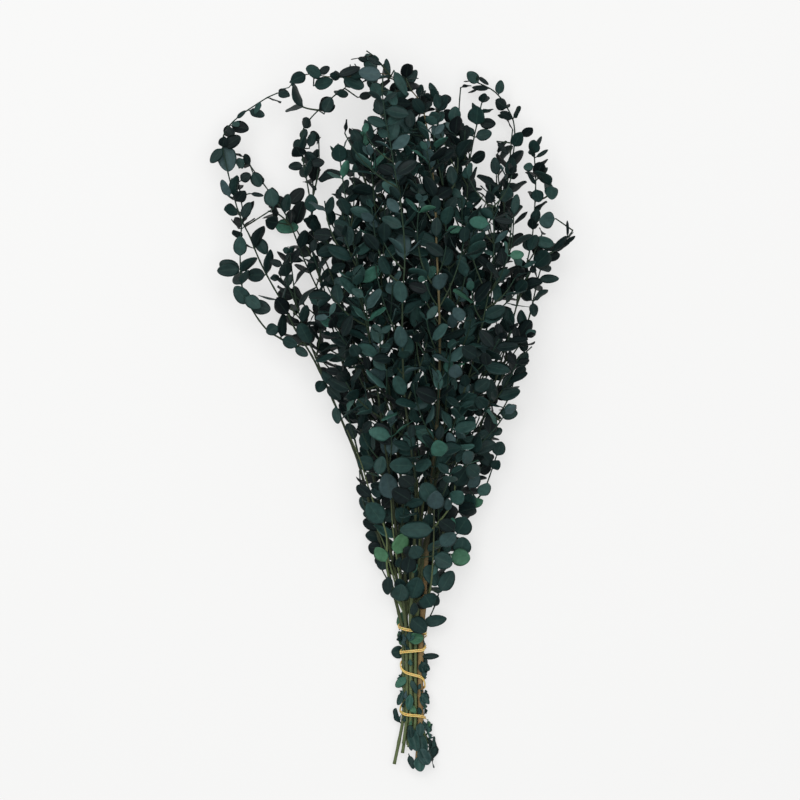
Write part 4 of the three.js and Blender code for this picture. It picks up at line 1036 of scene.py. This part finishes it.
def grow_twigs(shoots, leaves):
    """Leafy twigs from the nodes of every shoot, wherever there's room for one."""
    for parent in [shoot for shoot in shoots if not shoot["front"]]:
        path = parent["path"]
        nodes = [i for i in range(2, len(path) - 2) if path[i][1] >= FIRST_TWIGS]
        for i, again in [(i, again) for i in nodes for again in range(twig_tries(path[i]))]:
            draw = random_from(parent["number"] * TWIG_SEEDS + i * TWIG_NODE_SEEDS + TWIG_FIRST_SEED
                               + again * TWIG_AGAIN_SEEDS)
            start = draw() * 360
            lean = mix(*TWIG_LEANS, draw())
            count = int(mix(*TWIG_STEPS, draw()))
            spacing = mix(*TWIG_SPACINGS, draw())
            tries = (twig_path(parent, i, start + turn, lean, max(SHORTEST_TWIG, count - shorter), spacing)
                     for turn, shorter in TWIG_TURNS)
            points = next((one for one in tries if twig_fits(one, parent)), None)
            if points:
                grow_leafy_twig(parent, points, mix(*SHOOT_TURNS, draw()), shoots, leaves)


def grow_leaves(shoots, mains):
    """First the solids' leaf pairs, then traced leaves, twigs, and the pairs at all other nodes."""
    leaves = []
    modelled_shoots = list(shoots)
    for shoot in modelled_shoots:
        for i in modelled_nodes(shoot["path"]):
            if shoot["path"][i][1] > FIRST_LEAVES:
                grow_pair(shoot, i, leaves)
    front_stems = grow_front_stems(shoots, mains)
    modelled_count = len(leaves)
    grow_traced_leaves(shoots, leaves)
    for leaf in leaves[modelled_count:]:
        keep_clear_over(leaf_samples(leaf), leaf["seed"])
    for stem in front_stems:
        keep_clear_over(np.array(dense_curve(stem["path"], CLEAR_PARTS)), owner_of(stem))
    grow_twigs(shoots, leaves)
    for shoot in modelled_shoots:
        modelled = modelled_nodes(shoot["path"])
        for i in range(len(shoot["path"]) - 1, 0, -1):
            if i not in modelled and shoot["path"][i][1] > FIRST_LEAVES:
                grow_pair(shoot, i, leaves, True)
    return leaves


def across_direction(angle):
    """Direction square to the bundle, from an angle round it."""
    return np.array((math.cos(angle), 0, math.sin(angle)))


def outermost_stem(mains, out, y):
    """The stem that reaches farthest from the bundle's middle, in a direction across it."""
    reaches = [(stem_centre(shoot, y) - (0, 0, BUNDLE_HEIGHT)) @ out + shoot["low"] for shoot in mains]
    return mains[int(np.argmax(reaches))]


def tied_leaf(stem, y, out, along, length, width, draw, **more):
    """A leaf laid on a tied stem, its plane square to out."""
    return leaf_of(stem_centre(stem, y), along, out, out, length, width, mix(*TIED_CURLS, draw()),
                   crumpled=True, stem=stem["stem"], **more)


def lay_tied_leaf(leaf, stems, band_points, leaves):
    """Keeps a tied leaf if it is clear of the floor, the band and the other leaves."""
    points = leaf_samples(leaf)
    if points[:, 2].min() < LOWEST_LEAF:
        return False
    if points[:, 1].min() < BARE_BELOW and points[:, 0].min() < BARE_LEFT:
        return False
    offsets = points[:, None] - band_points
    over_band = (np.hypot(offsets[:, :, 0], offsets[:, :, 1]) < BAND_GAP) & (offsets[:, :, 2] > -BAND_GAP)
    in_band = np.linalg.norm(offsets, axis=2).min() < BAND_GAP
    if in_band or over_band[:, band_points[:, 2] > BUNDLE_HEIGHT].any():
        return False
    allowed = stems | {BAND_OWNER}
    if not all(space.is_free(key, allowed) for key in space.keys(points[TIED_ROOT_SAMPLES:])):
        return False
    space.take(points, 0, leaf["seed"])
    leaves.append(leaf)
    return True


def stem_under(mains, base, y, width):
    """The highest stem under a leaf's base, or the nearest one where none is under it."""
    def gap(shoot):
        return abs(stem_centre(shoot, y)[0] - base[0])

    reaching = sorted((shoot for shoot in mains if shoot["path"][0][1] < y - 1), key=gap)
    under = [shoot for shoot in reaching if gap(shoot) < width / 2 + STEM_RADIUS] or reaching[:1]
    return max(under, key=lambda shoot: stem_centre(shoot, y)[2] + shoot["low"])


def grow_traced_tied_leaves(mains, stems, band_points, leaves):
    """Leaves of the tie and the cut ends, each on the lowest layer with room for it."""
    for number, (pixel_x, pixel_y, angle, length, width, tone) in enumerate(TIED_LEAVES):
        draw = random_from(TRACED_TIED_SEEDS + number)
        middle = plan_of(pixel_x, pixel_y, 2 * BUNDLE_HEIGHT)
        base = middle - heading(angle) * (PETIOLE + length / 2)
        y = min(max(base[1], LOWEST_ROOT), TIED_TO)
        stem = stem_under(mains, base, y, width)
        way = unit(heading(angle) * length * OWN_WAY + middle - stem_centre(stem, y)[:2])
        for layer in range(1, TIED_LAYERS + 1):
            leaf = tied_leaf(stem, y, np.array((0, 0, 1.0)), np.array((*way, 0)), length, width, draw,
                             lifted=stem["low"] + TIED_LIFT * layer, tone=tone ** TIED_TONE_POWER,
                             seed=TRACED_TIED_OWNERS + number)
            if lay_tied_leaf(leaf, stems, band_points, leaves):
                break


def grow_tied_leaves(mains, band_points, leaves):
    """Crumpled leaves on the tied stems, below, between and above the turns of the band."""
    stems = {owner_of(shoot) for shoot in mains}
    grow_traced_tied_leaves(mains, stems, band_points, leaves)
    for number in range(TIED_TRIES):
        draw = random_from(TIED_SEEDS + number)
        hanging = number < HANGING_TRIES
        angle = math.radians(mix(*HANGING_ANGLES, draw()) if hanging else 360 * draw())
        y = mix(*((HANGING_FROM, HANGING_TO) if hanging else (TIED_FROM, TIED_TO)), draw())
        hand = 1 if draw() > BACKWARD_ABOVE or hanging else -1
        out = across_direction(angle)
        stem = outermost_stem(mains, out, y)
        tilt = math.radians(mix(*TIED_TILTS, draw()))
        downward = np.array((0, -hand, 0))
        along = unit(turned(downward, np.cross(downward, out), tilt))
        length = mix(*(HANGING_LENGTHS if hanging else TIED_LENGTHS), draw())
        width = length * mix(*TIED_WIDTHS, draw())
        leaf = tied_leaf(stem, y, out, along, length, width, draw, lifted=stem["low"] + TIED_LIFT,
                         seed=TIED_OWNERS + number)
        leaf["tone"] = mix(*TIED_TONES, draw())
        lay_tied_leaf(leaf, stems, band_points, leaves)


def grow_collar_leaves(mains, leaves):
    """Large leaves all round the narrow part of the bunch, above the band."""
    for number in range(COLLAR_TRIES):
        draw = random_from(COLLAR_SEEDS + number)
        angle = math.radians(360 * draw())
        y = mix(COLLAR_FROM, COLLAR_TO, draw() ** COLLAR_LOW_POWER)
        out = across_direction(angle)
        stem = outermost_stem(mains, out, y)
        path = stem["path"]
        i = min(range(1, len(path) - 1), key=lambda k: abs(path[k][1] - y))
        along, across, up = frame_at(path, i)
        turn = math.degrees(math.atan2(out @ up, out @ across))
        hand = -1 if draw() > BACKWARD_ABOVE and y > COLLAR_FORWARD_TO else 1
        form = {"width": mix(*COLLAR_WIDTHS, draw()), "curl": mix(*COLLAR_CURLS, draw()), "extra": True}
        length = LEAF_LENGTH * mix(*COLLAR_LENGTHS, draw())
        spread = mix(*COLLAR_SPREADS, draw())
        roll = mix(*COLLAR_ROLLS, draw())
        axes, root = (along * hand, across, up), stem_centre(stem, y)
        own = COLLAR_OWNERS + number
        tries = (make_leaf(axes, root, turn, spread, roll, length * scale, form) for scale in COLLAR_SCALES)
        leaf = first_fit(tries, stem, i, own)
        if leaf:
            tone = draw() ** COLLAR_TONE_POWER
            keep_leaf(leaf, leaves, own, stem=stem["stem"], seed=own, tone=tone)


def ring_nodes(shoot):
    """Nodes of a stem at which its solid has a ring of corners."""
    path = shoot["path"]
    last = len(path) - 1
    leafy = [i for i in modelled_nodes(path) if path[i][1] > FIRST_LEAVES]
    lowest = min([last] + leafy)
    bare = [i for i in range(1, lowest) if i % BARE_STEP == 0]
    return [0] + bare + leafy[::-1] + [last]


def stem_centre(shoot, y):
    """Point of a stem's centre line at y."""
    rings = [shoot["path"][i] for i in ring_nodes(shoot)]
    after = max(1, next(k for k, point in enumerate(rings) if point[1] >= y))
    a, b = rings[after - 1], rings[after]
    return a + (b - a) * ((y - a[1]) / (b[1] - a[1]))


def bundle_reach(stems, angle, y):
    """How far the stems and the band round them reach from the bundle's middle."""
    reaches = []
    for shoot in stems:
        for offset in (-STRAND_RADIUS, 0, STRAND_RADIUS):
            x, _, z = stem_centre(shoot, y + offset)
            reaches.append(x * math.cos(angle) + (z - BUNDLE_HEIGHT) * math.sin(angle) + shoot["low"])
    return max(reaches) + BAND_CLEARANCE + STRAND_RADIUS


def band_corner(stems, degrees, y):
    """Where the two flat sides of the band's route meet, that touch the bundle beside an angle."""
    a, b = math.radians(degrees - BAND_STEP / 2), math.radians(degrees + BAND_STEP / 2)
    reach_a, reach_b = bundle_reach(stems, a, y), bundle_reach(stems, b, y)
    x = (reach_a * math.sin(b) - reach_b * math.sin(a)) / math.sin(b - a)
    z = (reach_b * math.cos(a) - reach_a * math.cos(b)) / math.sin(b - a)
    return np.array((x, y, BUNDLE_HEIGHT + z))


def band_route(stems):
    """Route of the doubled band: out along the turns with one strand, back with the other."""
    def strand(hand):
        points = []
        degrees = BAND_TURNS[0][0]
        while degrees > BAND_TURNS[-1][0]:
            i = max(1, next(k for k, turn in enumerate(BAND_TURNS) if turn[0] <= degrees))
            start, end = BAND_TURNS[i - 1], BAND_TURNS[i]
            share = (degrees - start[0]) / (end[0] - start[0])
            offset = hand * STRAND_PITCH / 2 * mix(start[2], end[2], share)
            points.append(band_corner(stems, degrees, mix(start[1], end[1], share) + offset))
            degrees -= BAND_STEP
        return points
    return strand(1) + strand(-1)[::-1]


def loop_frames(path):
    """Directions at each point of the band: along it, across it, and out from the bundle."""
    frames = []
    for i, point in enumerate(path):
        along = unit(path[(i + 1) % len(path)] - path[i - 1])
        outward = unit(np.array((point[0], 0, point[2] - BUNDLE_HEIGHT)))
        up = unit(outward - along * (outward @ along))
        frames.append((along, np.cross(along, up), up))
    return frames


def band_low_corner(band):
    """Low corner of the box round the solid band, whose strand has flat sides."""
    corners = []
    for point, (_, across, up) in zip(band, loop_frames(band)):
        for k in range(BAND_SIDES):
            angle = math.radians(90 + 360 * k / BAND_SIDES)
            corners.append(point + turned(across, up, angle) * STRAND_RADIUS)
    return np.min(corners, axis=0)


def add_piece(name, vertices, faces, material, nodes, values=()):
    """A mesh piece from points in the bunch's plan, which rides on the root body."""
    mesh = bpy.data.meshes.new(name)
    points = (np.asarray(vertices) + TO_FRAME) * MM
    points[:, 2] = np.maximum(points[:, 2], FLOOR_GAP * MM)
    mesh.from_pydata(points.tolist(), [], faces)
    mesh.polygons.foreach_set("use_smooth", [True] * len(mesh.polygons))
    for key in values:
        layer = mesh.attributes.new(key, "FLOAT", "POINT")
        layer.data.foreach_set("value", np.asarray(values[key], np.float32))
    mesh.materials.append(material)
    mesh.validate()
    mesh.update()
    piece = bpy.data.objects.new(name, mesh)
    bpy.context.scene.collection.objects.link(piece)
    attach(piece, "root")
    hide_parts(*nodes)


def tube(path, radii, sides, frames=None):
    """Vertices and faces of a round tube along a path, which is closed if its frames are given."""
    vertices, faces = [], []
    for i, point in enumerate(path):
        _, across, up = frames[i] if frames else frame_at(path, i)
        for k in range(sides):
            vertices.append(point + turned(across, up, 2 * math.pi * k / sides) * radii[i])
    count = len(path)
    for i in range(count if frames else count - 1):
        for k in range(sides):
            a, b = i * sides + k, i * sides + (k + 1) % sides
            c, d = (i + 1) % count * sides + k, (i + 1) % count * sides + (k + 1) % sides
            faces.append((a, c, d, b))
    if not frames:
        faces.append(tuple(range(sides)))
        faces.append(tuple((count - 1) * sides + k for k in reversed(range(sides))))
    return vertices, faces


def blade_rows(leaf):
    """A fine blade's rows: distance from the root, half width, half thickness, share of the length."""
    rows = [(PETIOLE * part, PETIOLE_HALF, PETIOLE_HALF_THICKNESS, 0) for part in PETIOLE_ROWS]
    for share in BLADE_ROWS:
        full = half_width(leaf, share, BLADE_ROUNDNESS)
        full *= np.interp(leaf["root"][1], FINE_HEIGHTS, FINE_WIDTHS)
        full *= min(1, share / NARROW_TO) ** NARROW_POWER
        half = max(full, PETIOLE_HALF * LEAST_HALF) if share < 1 else TIP_HALF
        thick = mix(BLADE_LOW_THICKNESS, BLADE_HALF_THICKNESS, min(1, share / THICK_TO))
        rows.append((PETIOLE + share * leaf["length"], half, thick, share))
    return rows


def blade_faces(count):
    """Faces of a blade of so many rows: its upper side, its under side and its two ends."""
    columns = len(BLADE_COLUMNS)
    inner = columns - 2
    start = count * columns
    top = [[i * columns + k for k in range(columns)] for i in range(count)]
    under = [[row[0]] + [start + i * inner + k for k in range(inner)] + [row[-1]]
             for i, row in enumerate(top)]
    faces = []
    for i in range(count - 1):
        for k in range(columns - 1):
            faces.append((top[i][k], top[i][k + 1], top[i + 1][k + 1], top[i + 1][k]))
            faces.append((under[i][k], under[i + 1][k], under[i + 1][k + 1], under[i][k + 1]))
    for rim in (0, count - 1):
        loop = top[rim] + under[rim][-2:0:-1]
        faces.append(tuple(loop if rim else loop[::-1]))
    return faces


def drawn_tone_with_painted_shade(leaf, draw):
    """Tones are drawn with painted shade, darker at the outline and low over the floor, and are paler in
    the narrow part.
    """
    x, y, z = leaf["root"]
    depth = z / np.interp(y, (FAN_START, FAN_TOP), FRONT_TOPS)
    # painted shade: the draw is made darker near the bunch's outline
    power = np.interp(depth_inside(x, y, TOP_SHARE), TONE_INWARD, OUTLINE_SHADE_POWERS)
    power = power * np.interp(y, TONE_HEIGHTS, HEIGHT_POWERS)
    # painted shade: leaves low over the floor are made darker
    return PALEST_TONE * draw() ** power * np.interp(depth, PAINTED_SHADE_DEPTHS, PAINTED_SHADE_SHARES)


def fine_blade(leaf):
    """A thin leaf with a petiole, cupped along its midrib and gently waved at its edge."""
    draw = random_from(leaf["seed"])
    cup = 0 if leaf["flat"] else mix(*CUPS, draw())
    wave = 0 if leaf["flat"] else mix(*WAVES, draw())
    if leaf["crumpled"]:
        cup, wave = mix(*CRUMPLED_CUPS, draw()), mix(*CRUMPLED_WAVES, draw())
    phase = mix(0, FULL_TURN, draw())
    rows = blade_rows(leaf)
    outs, sides, lifts, us, vs = [], [], [], [], []
    for face in (1, -1):
        columns = BLADE_COLUMNS if face > 0 else BLADE_COLUMNS[1:-1]
        for (out, half, thick, share), column in itertools.product(rows, columns):
            side = column * half
            spread = column * column
            bend = share * WAVES_ALONG + phase + (OTHER_SIDE if column > 0 else 0)
            lift = cup * abs(side) * (CUP_AT_MIDRIB + CUP_AT_EDGE * abs(column)) * min(1, share * 3)
            lift += wave * spread * math.sin(bend) * min(1, share * 4)
            lift += -MIDRIB_DEPTH * (1 - min(1, abs(column) * 4)) * (1 if share else 0)
            outs.append(out)
            sides.append(side)
            lifts.append(lift + (0 if abs(column) == 1 else face * thick))
            us.append(share)
            vs.append(column)
    points = blade_points(leaf, np.array(outs), np.array(sides)) + np.array(lifts)[:, None] * leaf["normal"]
    tone = drawn_tone_with_painted_shade(leaf, draw) if leaf["tone"] is None else leaf["tone"]
    values = {"leaf_tone": [tone] * len(points), "leaf_u": us, "leaf_v": vs}
    return points, blade_faces(len(rows)), values


def join_all(parts):
    """Vertices, faces and values of several meshes as one."""
    vertices, faces, values = [], [], {}
    for points, own_faces, own_values in parts:
        base = len(vertices)
        vertices.extend(points)
        faces.extend(tuple(base + k for k in face) for face in own_faces)
        for key, numbers in own_values.items():
            values.setdefault(key, []).extend(numbers)
    return vertices, faces, values


def wood_part(shoot):
    """A shoot's bark, with slightly swollen leaf nodes."""
    dense = dense_curve(shoot["path"], WOOD_PARTS)
    count = len(dense) - 1
    woody = shoot["low"] > STEM_RADIUS
    radii, along = [], []
    for i, point in enumerate(dense):
        share = i / count
        slim = np.interp(point[1], WOODY_SLIM_FROM, (WOOD_SLIM, WOODY_SLIM)) if woody else WOOD_SLIM
        radius = radius_at(shoot, share) * (slim if i else 1)
        radii.append(radius * (NODE_SWELL if i % WOOD_PARTS == 0 and i else 1))
        tied = shoot["main"] or shoot["front"]
        along.append(share * (FRONT_ALONG if shoot["front"] else 1) if tied else 0.5 + 0.5 * share)
    sides = STEM_SIDES if shoot["main"] else TWIG_SIDES
    vertices, faces = tube(dense, radii, sides)
    tone = random_from(shoot["number"] + WOOD_SEEDS)()
    values = {"wood_along": np.repeat(along, sides).tolist(), "wood_tone": [tone] * len(vertices),
              "wood_brown": [int(woody)] * len(vertices)}
    return vertices, faces, values


def feed(tree, value, socket):
    """Sets a socket to a number or colour, or links it to what the value comes from."""
    if isinstance(value, (int, float)):
        socket.default_value = value
    elif isinstance(value, tuple):
        socket.default_value = (*value, 1)
    else:
        tree.links.new(value, socket)


def new_node(tree, kind, inputs=(), **settings):
    """A node with its settings, and the inputs that are given by name or number."""
    node = tree.nodes.new(kind)
    for key, value in settings.items():
        setattr(node, key, value)
    for key in inputs:
        feed(tree, inputs[key], node.inputs[key])
    return node


def ramp_of(tree, share, stops):
    """Colour from a ramp, at a share of its way."""
    ramp = new_node(tree, "ShaderNodeValToRGB", {"Fac": share})
    elements = ramp.color_ramp.elements
    while len(elements) < len(stops):
        elements.new(0.5)
    for element, (place, colour) in zip(elements, stops):
        element.position = place
        element.color = (*colour, 1)
    return ramp.outputs["Color"]


def attribute_of(tree, name):
    node = new_node(tree, "ShaderNodeAttribute", attribute_name=name, attribute_type="GEOMETRY")
    return node.outputs["Fac"]


def math_of(tree, operation, *values):
    return new_node(tree, "ShaderNodeMath", dict(enumerate(values)), operation=operation).outputs[0]


def mix_colour(tree, share, a, b, blend="MIX"):
    inputs = {0: share, 6: a, 7: b}
    return new_node(tree, "ShaderNodeMix", inputs, data_type="RGBA", blend_type=blend).outputs[2]


def noise_of(tree, scale, detail=3, roughness=0.5):
    place = new_node(tree, "ShaderNodeTexCoord").outputs["Object"]
    inputs = {"Vector": place, "Scale": scale, "Detail": detail, "Roughness": roughness}
    return new_node(tree, "ShaderNodeTexNoise", inputs).outputs["Fac"]


def bump_of(tree, height, strength, distance):
    inputs = {"Height": height, "Strength": strength, "Distance": distance}
    return new_node(tree, "ShaderNodeBump", inputs).outputs["Normal"]


def new_material(name):
    material = bpy.data.materials.new(name)
    material.use_nodes = True
    return material, material.node_tree


def shade(tree, inputs):
    """Sets or links inputs of a material's shader."""
    shader = tree.nodes["Principled BSDF"]
    for key, value in inputs.items():
        feed(tree, value, shader.inputs[key])


def leaf_material():
    """Dark teal leaves with a paler rib, a painted highlight along the edge, side veins and fine grain."""
    material, tree = new_material("eucalyptus_leaf")
    along = attribute_of(tree, "leaf_u")
    across = math_of(tree, "ABSOLUTE", attribute_of(tree, "leaf_v"))
    tones = ramp_of(tree, attribute_of(tree, "leaf_tone"), [
        (0, (0.003, 0.006, 0.007)), (0.2, (0.005, 0.013, 0.013)), (0.45, (0.009, 0.027, 0.025)),
        (0.7, (0.018, 0.048, 0.043)), (0.8, (0.032, 0.06, 0.064)), (0.92, (0.026, 0.09, 0.067)),
        (1, (0.055, 0.14, 0.07))])
    blotch = math_of(tree, "MULTIPLY_ADD", noise_of(tree, 260), 0.9, 0.55)
    colour = mix_colour(tree, 1.0, tones, blotch, "MULTIPLY")
    rib = math_of(tree, "LESS_THAN", across, RIB_HALF)
    colour = mix_colour(tree, math_of(tree, "MULTIPLY", rib, 0.14), colour, (0.06, 0.12, 0.085))
    # painted highlight: the colour is paled in a thin band along the leaf's edge
    rim_highlight = math_of(tree, "GREATER_THAN", across, HIGHLIGHT_RIM_FROM)
    colour = mix_colour(tree, math_of(tree, "MULTIPLY", rim_highlight, 0.3), colour, (0.05, 0.075, 0.055))
    slant = math_of(tree, "MULTIPLY", across, VEIN_SLANT)
    vein_phase = math_of(tree, "ADD", math_of(tree, "MULTIPLY", along, VEINS), slant)
    waves = math_of(tree, "ABSOLUTE", math_of(tree, "SINE", vein_phase))
    veins = math_of(tree, "POWER", waves, VEIN_POWER)
    height = math_of(tree, "ADD", math_of(tree, "MULTIPLY", veins, 0.25), noise_of(tree, 900))
    height = math_of(tree, "SUBTRACT", height, math_of(tree, "MULTIPLY", rib, 1.2))
    shade(tree, {"Base Color": colour, "Roughness": 0.55, "Specular IOR Level": 0.13,
                 "Normal": bump_of(tree, height, 0.35, 0.0002)})
    return material


def bark_material():
    """Bark that goes from green or brown at the cut end to dark green at the tip, with fine streaks."""
    material, tree = new_material("eucalyptus_bark")
    along = attribute_of(tree, "wood_along")
    shifted = math_of(tree, "ADD", along, math_of(tree, "MULTIPLY", attribute_of(tree, "wood_tone"), 0.2))
    green = ramp_of(tree, shifted, [
        (0, (0.105, 0.145, 0.06)), (0.2, (0.085, 0.112, 0.048)), (0.42, (0.03, 0.038, 0.019)),
        (0.8, (0.016, 0.032, 0.017)), (1, (0.008, 0.024, 0.016))])
    brown = ramp_of(tree, along, [
        (0, (0.19, 0.125, 0.052)), (0.17, (0.16, 0.105, 0.045)), (0.21, (0.03, 0.03, 0.015)),
        (0.42, (0.045, 0.042, 0.02)), (0.52, (0.09, 0.072, 0.034)), (0.8, (0.075, 0.06, 0.028)),
        (1, (0.02, 0.03, 0.016))])
    bark = mix_colour(tree, attribute_of(tree, "wood_brown"), green, brown)
    streak = math_of(tree, "MULTIPLY_ADD", noise_of(tree, 700, 4, 0.65), 1.1, 0.45)
    shade(tree, {"Base Color": mix_colour(tree, 1.0, bark, streak, "MULTIPLY"), "Roughness": 0.72,
                 "Specular IOR Level": 0.2, "Normal": bump_of(tree, noise_of(tree, 1400), 0.5, 0.0003)})
    return material


def band_material():
    """Translucent yellow rubber."""
    material, tree = new_material("natural_rubber")
    colour = ramp_of(tree, noise_of(tree, 120), [(0.3, (0.5, 0.34, 0.08)), (0.7, (0.68, 0.5, 0.17))])
    shade(tree, {"Base Color": colour, "Roughness": 0.42, "Subsurface Weight": 0.25,
                 "Subsurface Scale": 0.001})
    return material


def floor_material():
    """Pale floor, partly lit by itself, so that the bunch's shadow on it is faint."""
    material, tree = new_material("pale_floor")
    shade(tree, {"Base Color": (0.27, 0.27, 0.268), "Emission Color": (1, 1, 0.995),
                 "Emission Strength": 0.58, "Roughness": 0.9, "Specular IOR Level": 0.1})
    return material


def add_floor():
    corners = [(x * FLOOR_SIZE, y * FLOOR_SIZE, 0) for x, y in ((-1, -1), (1, -1), (1, 1), (-1, 1))]
    mesh = bpy.data.meshes.new("floor")
    mesh.from_pydata(corners, [], [(0, 1, 2, 3)])
    mesh.materials.append(floor_material())
    floor = bpy.data.objects.new("floor", mesh)
    bpy.context.scene.collection.objects.link(floor)


def area_light(name, place, size, power):
    """A round light that is aimed at the middle of the bunch."""
    light = bpy.data.lights.new(name, "AREA")
    light.shape = "DISK"
    light.size = size
    light.energy = power
    lamp = bpy.data.objects.new(name, light)
    lamp.location = place
    lamp.rotation_euler = (Vector() - Vector(place)).to_track_quat("-Z", "Y").to_euler()
    bpy.context.scene.collection.objects.link(lamp)


def light_world():
    world = bpy.data.worlds.new("studio")
    bpy.context.scene.world = world
    world.use_nodes = True
    background = world.node_tree.nodes["Background"]
    background.inputs["Color"].default_value = (1, 1, 1, 1)
    background.inputs["Strength"].default_value = WORLD_STRENGTH
    bpy.context.scene.view_settings.view_transform = "Standard"


def add_camera():
    """The photo's camera, straight over the middle of its frame."""
    data = bpy.data.cameras.new("camera")
    data.sensor_fit = "HORIZONTAL"
    data.sensor_width = SENSOR_WIDTH
    data.lens = SENSOR_WIDTH * (CAMERA_HEIGHT - PLAN_HEIGHT) / (FRAME_PIXELS * PIXEL)
    camera = bpy.data.objects.new("camera", data)
    camera.location = ((MIDDLE_X + TO_FRAME[0]) * MM, (MIDDLE_Y + TO_FRAME[1]) * MM, CAMERA_HEIGHT * MM)
    bpy.context.scene.collection.objects.link(camera)
    bpy.context.scene.camera = camera


# Growing the bunch
shoots = grow_shoots()
mains = [shoot for shoot in shoots if shoot["main"]]
for each in shoots:
    take_shoot(each)
band = band_route(mains)
space.take(closed_curve(band, BAND_SPACE_PARTS), 1, BAND_OWNER)
all_leaves = grow_leaves(shoots, mains)
grow_collar_leaves(mains, all_leaves)
fill_leaves(shoots, all_leaves)
grow_tied_leaves(mains, np.array(closed_curve(band, BAND_GAP_PARTS)), all_leaves)

# The pieces
TO_FRAME = np.array(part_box("rubber_band")[0]) / MM - band_low_corner(band)
leaf_look, bark_look = leaf_material(), bark_material()
for stem in STEMS:
    name = stem["name"]
    vertices, faces, values = join_all([fine_blade(leaf) for leaf in all_leaves if leaf["stem"] == name])
    add_piece(name + "_leaves", vertices, faces, leaf_look, [name], values)
    vertices, faces, values = join_all([wood_part(shoot) for shoot in shoots if shoot["stem"] == name])
    add_piece(name + "_wood", vertices, faces, bark_look, [name], values)

smooth_band = closed_curve(band, SMOOTH_BAND_PARTS)
radii = [STRAND_RADIUS] * len(smooth_band)
vertices, faces = tube(smooth_band, radii, SMOOTH_BAND_SIDES, loop_frames(smooth_band))
add_piece("rubber_band_loop", vertices, faces, band_material(), ["rubber_band"])

# Floor, light and camera
add_floor()
area_light("overhead_light", OVERHEAD_PLACE, OVERHEAD_SIZE, OVERHEAD_POWER)
area_light("key_light", KEY_PLACE, KEY_SIZE, KEY_POWER)
light_world()
add_camera()
